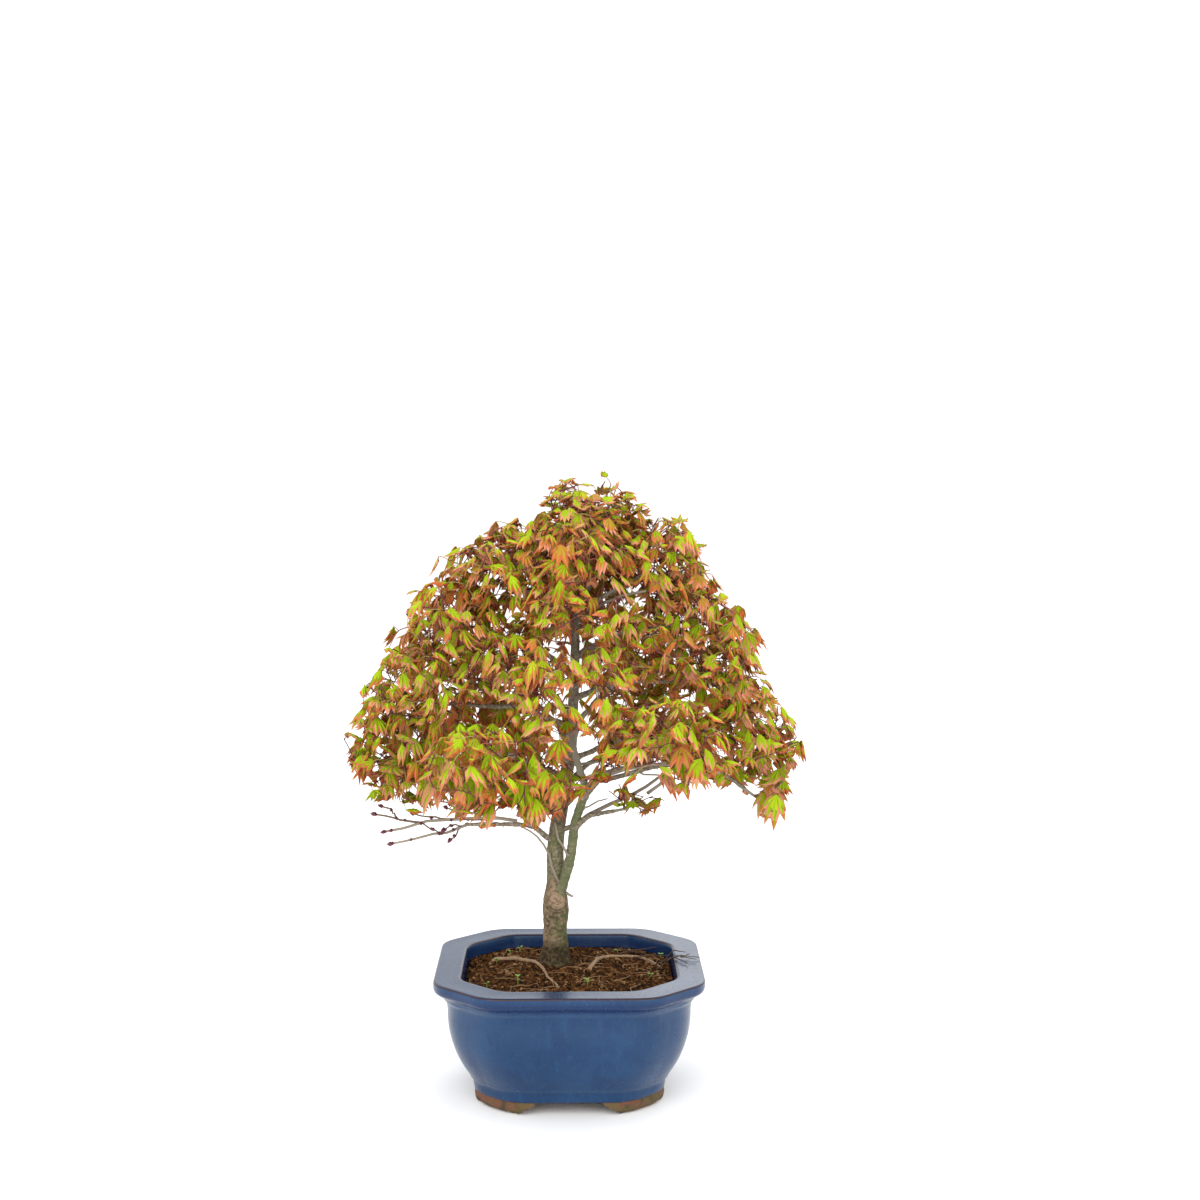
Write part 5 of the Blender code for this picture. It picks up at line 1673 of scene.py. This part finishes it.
RUST = (  # young margins, from salmon to deep rust
    (0.48, 0.150, 0.069),
    (0.44, 0.121, 0.036),
    (0.53, 0.217, 0.125),
    (0.39, 0.092, 0.030),
)
LIME = (  # leaf bases and greens: bright, fresh, olive and bronze
    (0.32, 0.45, 0.010),
    (0.26, 0.36, 0.007),
    (0.215, 0.275, 0.006),
    (0.35, 0.23, 0.022),
)


BRIGHT, FRESH, OLIVE, BRONZE = range(len(LIME))
FIRST_RUST = len(LIME)


def leaf_colours(dice, leaves, rust_share):
    """The surface of each leaf's heart, green, margin and tip, dealt out by spray and by leaf.

    Higher leaves are rustier, and large ones greener. In a rusty leaf the green is bronze or rust,
    and in a green one the margins too are green.
    """
    spray = leaves["twig"]
    luck = dice.uniform(0, 1, (spray.max() + 1, 3))[spray]
    own = dice.uniform(0, 1, (len(spray), 3))
    rusty = 0.34 * (luck[:, 0] - 0.5) + 0.6 * (own[:, 0] - 0.5) + rust_share
    rusty = rusty + 0.17 * (blend(leaves["middle"][:, 2], 190, 320) - 0.4)
    rusty = rusty - 0.12 * (leaves["size"] > 19)
    heart = np.where(own[:, 1] < 0.65, BRIGHT, FRESH)
    heart = np.where(rusty > 0.8, BRONZE, heart)
    green = np.where(luck[:, 1] < 0.55, FRESH, OLIVE)
    green = np.where(rusty > 0.6, BRONZE, green)
    green = np.where(rusty > 0.74, FIRST_RUST + 1, green)
    margin = FIRST_RUST + np.clip((luck[:, 2] * 2.2 + own[:, 2] * 1.6).astype(int), 0, 3)
    margin = np.where(rusty < 0.12, OLIVE, margin)
    tip = FIRST_RUST + np.clip((own[:, 1] * 3.99).astype(int), 0, 3)
    tip = np.where(rusty < 0.05, BRONZE, tip)
    return np.stack([heart, green, margin, tip], 1)


def leaf_surfaces():
    """Soft young leaves, one plain colour each."""
    made = []
    for family, colours in (("green", LIME), ("rust", RUST)):
        for i, colour in enumerate(colours):
            made.append(plain_finish(f"Leaf {family} {i + 1}", colour, 0.65, 0.08))
    return made


def make_leaves(name, starts, leaves, colours, surfaces):
    """One piece of joined leaves, of the masses whose names start so."""
    names = [cell for cell in CELLS if cell.startswith(starts)]
    mask = np.isin(leaves["owner"], names)
    rows, faces, quads, kinds, quad_kinds = leaf_pattern()
    points = leaf_points(rows, chosen(leaves, mask))
    count = len(points)
    triangles = repeated(faces, count, len(rows))
    blades = repeated(quads, count, len(rows))
    finish = [colours[mask][:, kinds].ravel(), colours[mask][:, quad_kinds].ravel()]
    nodes = [node for node in FOLIAGE_NODES if node[len("foliage_") :] in names]
    return add_piece(name, points, [triangles, blades], surfaces, "foliage", nodes, finish=finish,
                     smooth_shading=False)


def bud_shapes(places, headings, lengths, fatness):
    """Pointed buds: four-sided, widest a third of the way up, with a point at each end."""
    helper = unit(np.cross(headings, UP + 0.01))
    other = np.cross(headings, helper)
    turn = np.arange(4) * math.pi / 2
    rows = []
    for share, wide in ((0.12, 0.6), (0.4, 1.0), (0.75, 0.5)):
        ring = helper[:, None] * np.cos(turn)[:, None] + other[:, None] * np.sin(turn)[:, None]
        centre = places + headings * (lengths * share)[:, None]
        rows.append(centre[:, None] + ring * (lengths * fatness * wide)[:, None, None])
    rings = np.stack(rows, 1)
    return close_tubes(rings, places, places + headings * lengths[:, None])


def grown_nodes(grown):
    """The nodes of every mass in one array, with their twigs numbered on, and each node's mass."""
    offset = 0
    nodes, owners = [], []
    for growth in grown:
        own = np.array(growth.nodes)
        own[:, 8] += offset
        offset = own[:, 8].max() + 1
        nodes.append(own)
        owners += [growth.name] * len(own)
    return np.concatenate(nodes), np.array(owners)


def clear_of_limbs(points):
    """Whether points keep clear of the trunk, the second stem and the boughs."""
    rows = [smooth(stations, 40) for stations in limb_stations().values()]
    limbs = np.concatenate(rows)
    gaps = np.linalg.norm(points[:, None] - limbs[None, :, :3], axis=2) - limbs[:, 3]
    return gaps.min(1) > LIMB_CLEAR


def staying(dice, leaves):
    """The leaves that stay.

    Some are missing by chance, more of them deep in the crown. A leaf whose tip stands out of the
    flattened balls is made smaller, and goes where it still does. Leaves also go where they stand
    out of the crown's outline or hem, touch a limb, or lie in an opening.
    """
    count = len(leaves["size"])
    depth = crown_depth(leaves["middle"])
    odds = np.where(leaves["level"] == 0, *PAIR_ODDS) * (1 - INNER_LOSS * blend(depth, 30, 70))
    kept = dice.uniform(0, 1, count) < odds
    hang = leaves["size"] * leaves["droop"] * 0.5
    tips = leaves["middle"] + leaves["ahead"] * leaves["size"][:, None] * 0.8 - UP * hang[:, None]
    for shrink in (0.85, 0.8):
        outside = ~in_crown(tips, LEAF_REACH)
        leaves["size"] = np.where(outside, leaves["size"] * shrink, leaves["size"])
        nearer = leaves["middle"] + (tips - leaves["middle"]) * shrink
        tips = np.where(outside[:, None], nearer, tips)
    kept &= in_crown(tips, LEAF_REACH) & in_crown(leaves["middle"], LEAF_REACH)
    edges = np.random.default_rng(77).uniform(*RAGGED, leaves["twig"].max() + 1)
    kept &= (crown_depth(tips) > edges[leaves["twig"]]) | (dice.uniform(0, 1, count) < STRAY_SHARE)
    kept &= above_hem(tips)
    kept &= clear_of_limbs((tips + leaves["middle"]) / 2)
    missing = in_opening(tips) | in_opening(leaves["middle"])
    kept &= ~missing | (dice.uniform(0, 1, count) > OPEN_SHARE)
    return chosen(leaves, kept)


TWIG_FINISHES = (  # name, colour, roughness and depth of the grain
    ("Grey twig", (0.28, 0.235, 0.18), 0.85, 0.1),
    ("Brown twig", (0.17, 0.115, 0.08), 0.85, 0.1),
    ("Red twig", (0.14, 0.042, 0.036), 0.7, 0.08),
)
TIERS = {  # pieces of leaves, and how the names of their masses start
    "leaves_low_front": ("low_front", "inner", "hanging", "curtain"),
    "leaves_low_sides": ("low_left", "low_right", "low_back"),
    "leaves_middle": ("mid", "fill"),
    "leaves_upper": ("upper",),
    "leaves_top": ("shoulder", "crown", "top", "peak"),
}


def make_foliage(crown):
    """Grows the crown and joins its leaves, stalks, twigs and buds, each kind apart."""
    dice = np.random.default_rng(2024)
    stations = limb_stations()
    grown = []
    for name in CELLS:
        if name not in BARE_MASSES:
            grown.append(Growth(name, stations[LIMB_ENDS.get(name, name)], crown.sprays))
    nodes, owners = grown_nodes(grown)
    leaves = leaf_frames(dice, nodes, crown)
    leaves["owner"] = np.tile(owners, 2)
    leaves = staying(dice, leaves)
    colours = leaf_colours(dice, leaves, crown.rust)
    surfaces = leaf_surfaces()
    for tier, starts in TIERS.items():
        make_leaves(tier, starts, leaves, colours, surfaces)
    make_stalks(dice, leaves)
    make_twigs(dice, grown)
    make_scales(dice, leaves)
    make_winter_buds(dice)


def make_stalks(dice, leaves):
    """The leaves' stalks, green or red."""
    radii = np.full(leaves["path"].shape[:2], STALK_RADIUS) * np.linspace(1.0, 0.8, 4)
    points, faces = tubes(leaves["path"], radii, 3)
    surfaces = [plain_finish("Green stalk", (0.36, 0.30, 0.07), 0.55),
                plain_finish("Red stalk", (0.36, 0.10, 0.07), 0.55)]
    kind = (dice.uniform(0, 1, len(radii)) < 0.55).astype(int)
    return add_piece("leaf_stalks", points, faces, surfaces, "foliage", FOLIAGE_NODES,
                     finish=per_tube(kind, faces))


def make_twigs(dice, grown):
    """Every mass's twigs, the bare shoots and the bare twigs: grey where thick, red where thin."""
    shoots = SHOOTS + BARE_TWIGS
    extra = np.array([smooth(route, TWIG_STATIONS) for _, *route in shoots])
    fade = np.sin(np.linspace(0, math.pi, TWIG_STATIONS))[:, None]
    extra = extra + fade * dice.normal(0, 0.4, extra.shape)
    paths = np.concatenate([*(growth.twigs for growth in grown), extra])
    radii = [np.linspace(*ends, TWIG_STATIONS) for ends, *_ in shoots]
    radii = np.concatenate([*(growth.thick for growth in grown), radii])
    points, faces = tubes(paths, radii, 5)
    surfaces = []
    for name, colour, roughness, depth in TWIG_FINISHES:
        surfaces.append(plain_finish(name, colour, roughness, 0.2, 0.7, depth))
    thin = radii[:, -1]
    kind = np.where(thin > 0.55, 0, np.where(thin > 0.36, 1, 2))
    kind[-len(shoots) : 2 - len(BARE_TWIGS)] = 0
    return add_piece("twigs", points, faces, surfaces, "bark", FOLIAGE_NODES + TWIG_NODES,
                     finish=per_tube(kind, faces))


def make_scales(dice, leaves):
    """Maroon bud scales where most of the leaves spring."""
    own = leaves["path"][dice.uniform(0, 1, len(leaves["path"])) < 0.6]
    places = own[:, 0]
    headings = unit(own[:, 1] - places)
    count = len(places)
    lengths = dice.uniform(1.3, 2.8, count)
    points, faces = bud_shapes(places - headings * 0.3, headings, lengths, 0.26)
    kind = (dice.uniform(0, 1, count) < 0.4).astype(int)
    surfaces = [plain_finish("Bud scale", (0.12, 0.028, 0.035), 0.5),
                plain_finish("Dark bud scale", (0.06, 0.018, 0.02), 0.55)]
    return add_piece("bud_scales", points, faces, surfaces, "foliage", FOLIAGE_NODES,
                     finish=per_tube(kind, faces))


def make_winter_buds(dice):
    """Plump buds on the bare twigs: one ahead and two aside at an end, and two at each knot."""
    routes = [np.array(route, float) for _, *route in BARE_TWIGS]
    ends = np.array([route[-1] for route in routes])
    along = unit(ends - np.array([route[-2] for route in routes]))
    out = unit(np.cross(along, UP + 0.3 * along[:, ::-1]))
    knots = np.concatenate([route[1:-1] for route in routes])
    ahead = unit(np.concatenate([route[2:] - route[1:-1] for route in routes]))
    aside = unit(np.cross(ahead, UP))
    rows = [(ends, along, 3.2)]
    rows += [(ends - along * 0.6, unit(along + out * side), 2.9) for side in (-1.0, 1.0)]
    rows += [(knots, unit(ahead + aside * side), 2.7) for side in (-1.2, 1.2)]
    places = np.concatenate([place for place, _, _ in rows])
    headings = np.concatenate([heading for _, heading, _ in rows])
    lengths = np.concatenate([np.full(len(place), length) for place, _, length in rows])
    lengths = lengths * dice.uniform(0.8, 1.2, len(places))
    points, faces = bud_shapes(places, headings, lengths, 0.4)
    surface = plain_finish("Winter bud", (0.11, 0.018, 0.032), 0.5)
    return add_piece("winter_buds", points, faces, [surface], "buds", TWIG_NODES)


# ---------------------------------------------------------------- stage


LENS = 57.92
SENSOR = 36.0
CAMERA_PLACE = (0.00139, -1.10014, 0.37426)
CAMERA_TILT = (85.2763, 0.0, -0.8547)  # in degrees
CAMERA_DISTANCE = 1.1  # at which the camera has the place above
AIM = (0, 0, 0.18)
LIGHTS = (  # name, place, size, and power as a share of the key light's
    ("Key light", (-0.7, -1.5, 1.1), 1.3, 1.0),
    ("Fill light", (0.7, -1.5, 0.4), 1.3, 0.8),
    ("Top light", (0.1, 0.2, 1.6), 1.2, 0.45),
    ("Back light", (0.5, 1.5, 1.0), 1.0, 0.35),
)


def make_floor(stage):
    """A round pale floor: rings whose radius grows by the same share from each to the next."""
    radius = np.geomspace(0.05, 40.0, 40) / MM
    sides = 96
    turn = np.linspace(0, TURN, sides, endpoint=False)
    points = np.zeros((len(radius), sides, 3))
    points[..., 0] = np.outer(radius, np.cos(turn))
    points[..., 1] = np.outer(radius, np.sin(turn))
    flat = np.vstack([points.reshape(-1, 3), (0, 0, 0)])
    faces = grid_faces(len(radius), sides)[:, ::-1]
    ring = np.arange(sides)
    middle = np.stack([np.full(sides, len(flat) - 1), ring, (ring + 1) % sides], -1)
    paper = Finish("Floor", 0.9, 0.1)
    paper.base = paper.mix(paper.noise(180, 2), stage.floor, dimmed(stage.floor, 0.985))
    piece = add_piece("floor", flat, [faces, middle], [paper.done()], None, ())
    return piece


def make_lights(stage):
    """Even light from all round, and four square soft lights that are turned to the crown."""
    world = bpy.data.worlds.new("Room")
    bpy.context.scene.world = world
    world.use_nodes = True
    back = world.node_tree.nodes["Background"]
    back.inputs["Color"].default_value = (1, 1, 1, 1)
    back.inputs["Strength"].default_value = stage.sky
    for name, place, size, share in LIGHTS:
        lamp = bpy.data.lights.new(name, "AREA")
        lamp.energy = stage.key * share
        lamp.size = size
        holder = bpy.data.objects.new(name, lamp)
        holder.location = place
        direction = Vector(AIM) - Vector(place)
        holder.rotation_euler = direction.to_track_quat("-Z", "Y").to_euler()
        bpy.context.scene.collection.objects.link(holder)


def make_camera(stage):
    """The camera in front of the pot, a little above it and looking slightly down."""
    data = bpy.data.cameras.new("Camera")
    data.lens = LENS
    data.sensor_width = SENSOR
    camera = bpy.data.objects.new("Camera", data)
    x, y, z = CAMERA_PLACE
    camera.location = (x, y * stage.distance / CAMERA_DISTANCE, z)
    camera.rotation_euler = [math.radians(angle) for angle in CAMERA_TILT]
    bpy.context.scene.collection.objects.link(camera)
    bpy.context.scene.camera = camera


# ---------------------------------------------------------------- operators


class MAPLE_OT_pot(bpy.types.Operator):
    """Lofts the glazed pot and its clay feet."""

    bl_idname = "maple.pot"
    bl_label = "Pot"

    def execute(self, context):
        make_pot(context.scene.maple_pot)
        make_feet(context.scene.maple_pot)
        return {"FINISHED"}


class MAPLE_OT_soil(bpy.types.Operator):
    """Fills the pot with soil, granules, rootlets, weeds and dry twigs."""

    bl_idname = "maple.soil"
    bl_label = "Soil"

    def execute(self, context):
        soil = context.scene.maple_soil
        make_soil_bed(soil)
        make_granules(soil)
        make_rootlets(soil, plain_finish("Fine root", (0.30, 0.17, 0.08), 0.85))
        make_seedlings(plain_finish("Seedling", (0.16, 0.34, 0.02), 0.5))
        make_dry_twigs(plain_finish("Dry twig", (0.075, 0.045, 0.03), 0.85))
        return {"FINISHED"}


class MAPLE_OT_roots(bpy.types.Operator):
    """Lays the two surface roots on the soil."""

    bl_idname = "maple.roots"
    bl_label = "Surface roots"

    def execute(self, context):
        bark = root_finish()
        for name in SURFACE_ROOTS:
            make_surface_root(name, bark)
        return {"FINISHED"}


class MAPLE_OT_limbs(bpy.types.Operator):
    """Raises the trunk, the second stem and the boughs with their bark."""

    bl_idname = "maple.limbs"
    bl_label = "Trunk and boughs"

    def execute(self, context):
        bark = context.scene.maple_bark
        make_trunk(bark)
        make_second_stem(bark)
        make_boughs(bark)
        return {"FINISHED"}


class MAPLE_OT_foliage(bpy.types.Operator):
    """Grows twigs, leaf stalks, leaves and buds from the boughs' tips."""

    bl_idname = "maple.foliage"
    bl_label = "Foliage"

    def execute(self, context):
        make_foliage(context.scene.maple_crown)
        return {"FINISHED"}


class MAPLE_OT_stage(bpy.types.Operator):
    """Sets the floor, the lights and the camera."""

    bl_idname = "maple.stage"
    bl_label = "Stage"

    def execute(self, context):
        stage = context.scene.maple_stage
        make_floor(stage)
        make_lights(stage)
        make_camera(stage)
        context.scene.view_settings.view_transform = "Standard"
        return {"FINISHED"}


OPERATORS = (
    MAPLE_OT_pot, MAPLE_OT_soil, MAPLE_OT_roots, MAPLE_OT_limbs, MAPLE_OT_foliage, MAPLE_OT_stage,
)


class MAPLE_PT_panel(bpy.types.Panel):
    """The maple's settings and one button for each of its parts."""

    bl_idname = "MAPLE_PT_panel"
    bl_label = "Bonsai maple"
    bl_space_type = "VIEW_3D"
    bl_region_type = "UI"
    bl_category = "Maple"

    def draw(self, context):
        for operator in OPERATORS:
            self.layout.operator(operator.bl_idname)
        for name in SETTINGS:
            box = self.layout.box()
            group = getattr(context.scene, name)
            for prop in group.__annotations__:
                box.prop(group, prop)


SETTINGS = {
    "maple_pot": MaplePot,
    "maple_soil": MapleSoil,
    "maple_bark": MapleBark,
    "maple_crown": MapleCrown,
    "maple_stage": MapleStage,
}


def register():
    """Makes the settings, the operators and the panel known to Blender."""
    for made in (*SETTINGS.values(), *OPERATORS, MAPLE_PT_panel):
        bpy.utils.register_class(made)
    for name, group in SETTINGS.items():
        setattr(bpy.types.Scene, name, PointerProperty(type=group))


def unregister():
    """Takes them all out again."""
    for name in SETTINGS:
        delattr(bpy.types.Scene, name)
    for made in (MAPLE_PT_panel, *OPERATORS[::-1], *SETTINGS.values()):
        bpy.utils.unregister_class(made)


def main():
    """Makes every part in order."""
    register()
    bpy.ops.maple.pot()
    bpy.ops.maple.soil()
    bpy.ops.maple.roots()
    bpy.ops.maple.limbs()
    bpy.ops.maple.foliage()
    bpy.ops.maple.stage()


if __name__ == "__main__":
    main()
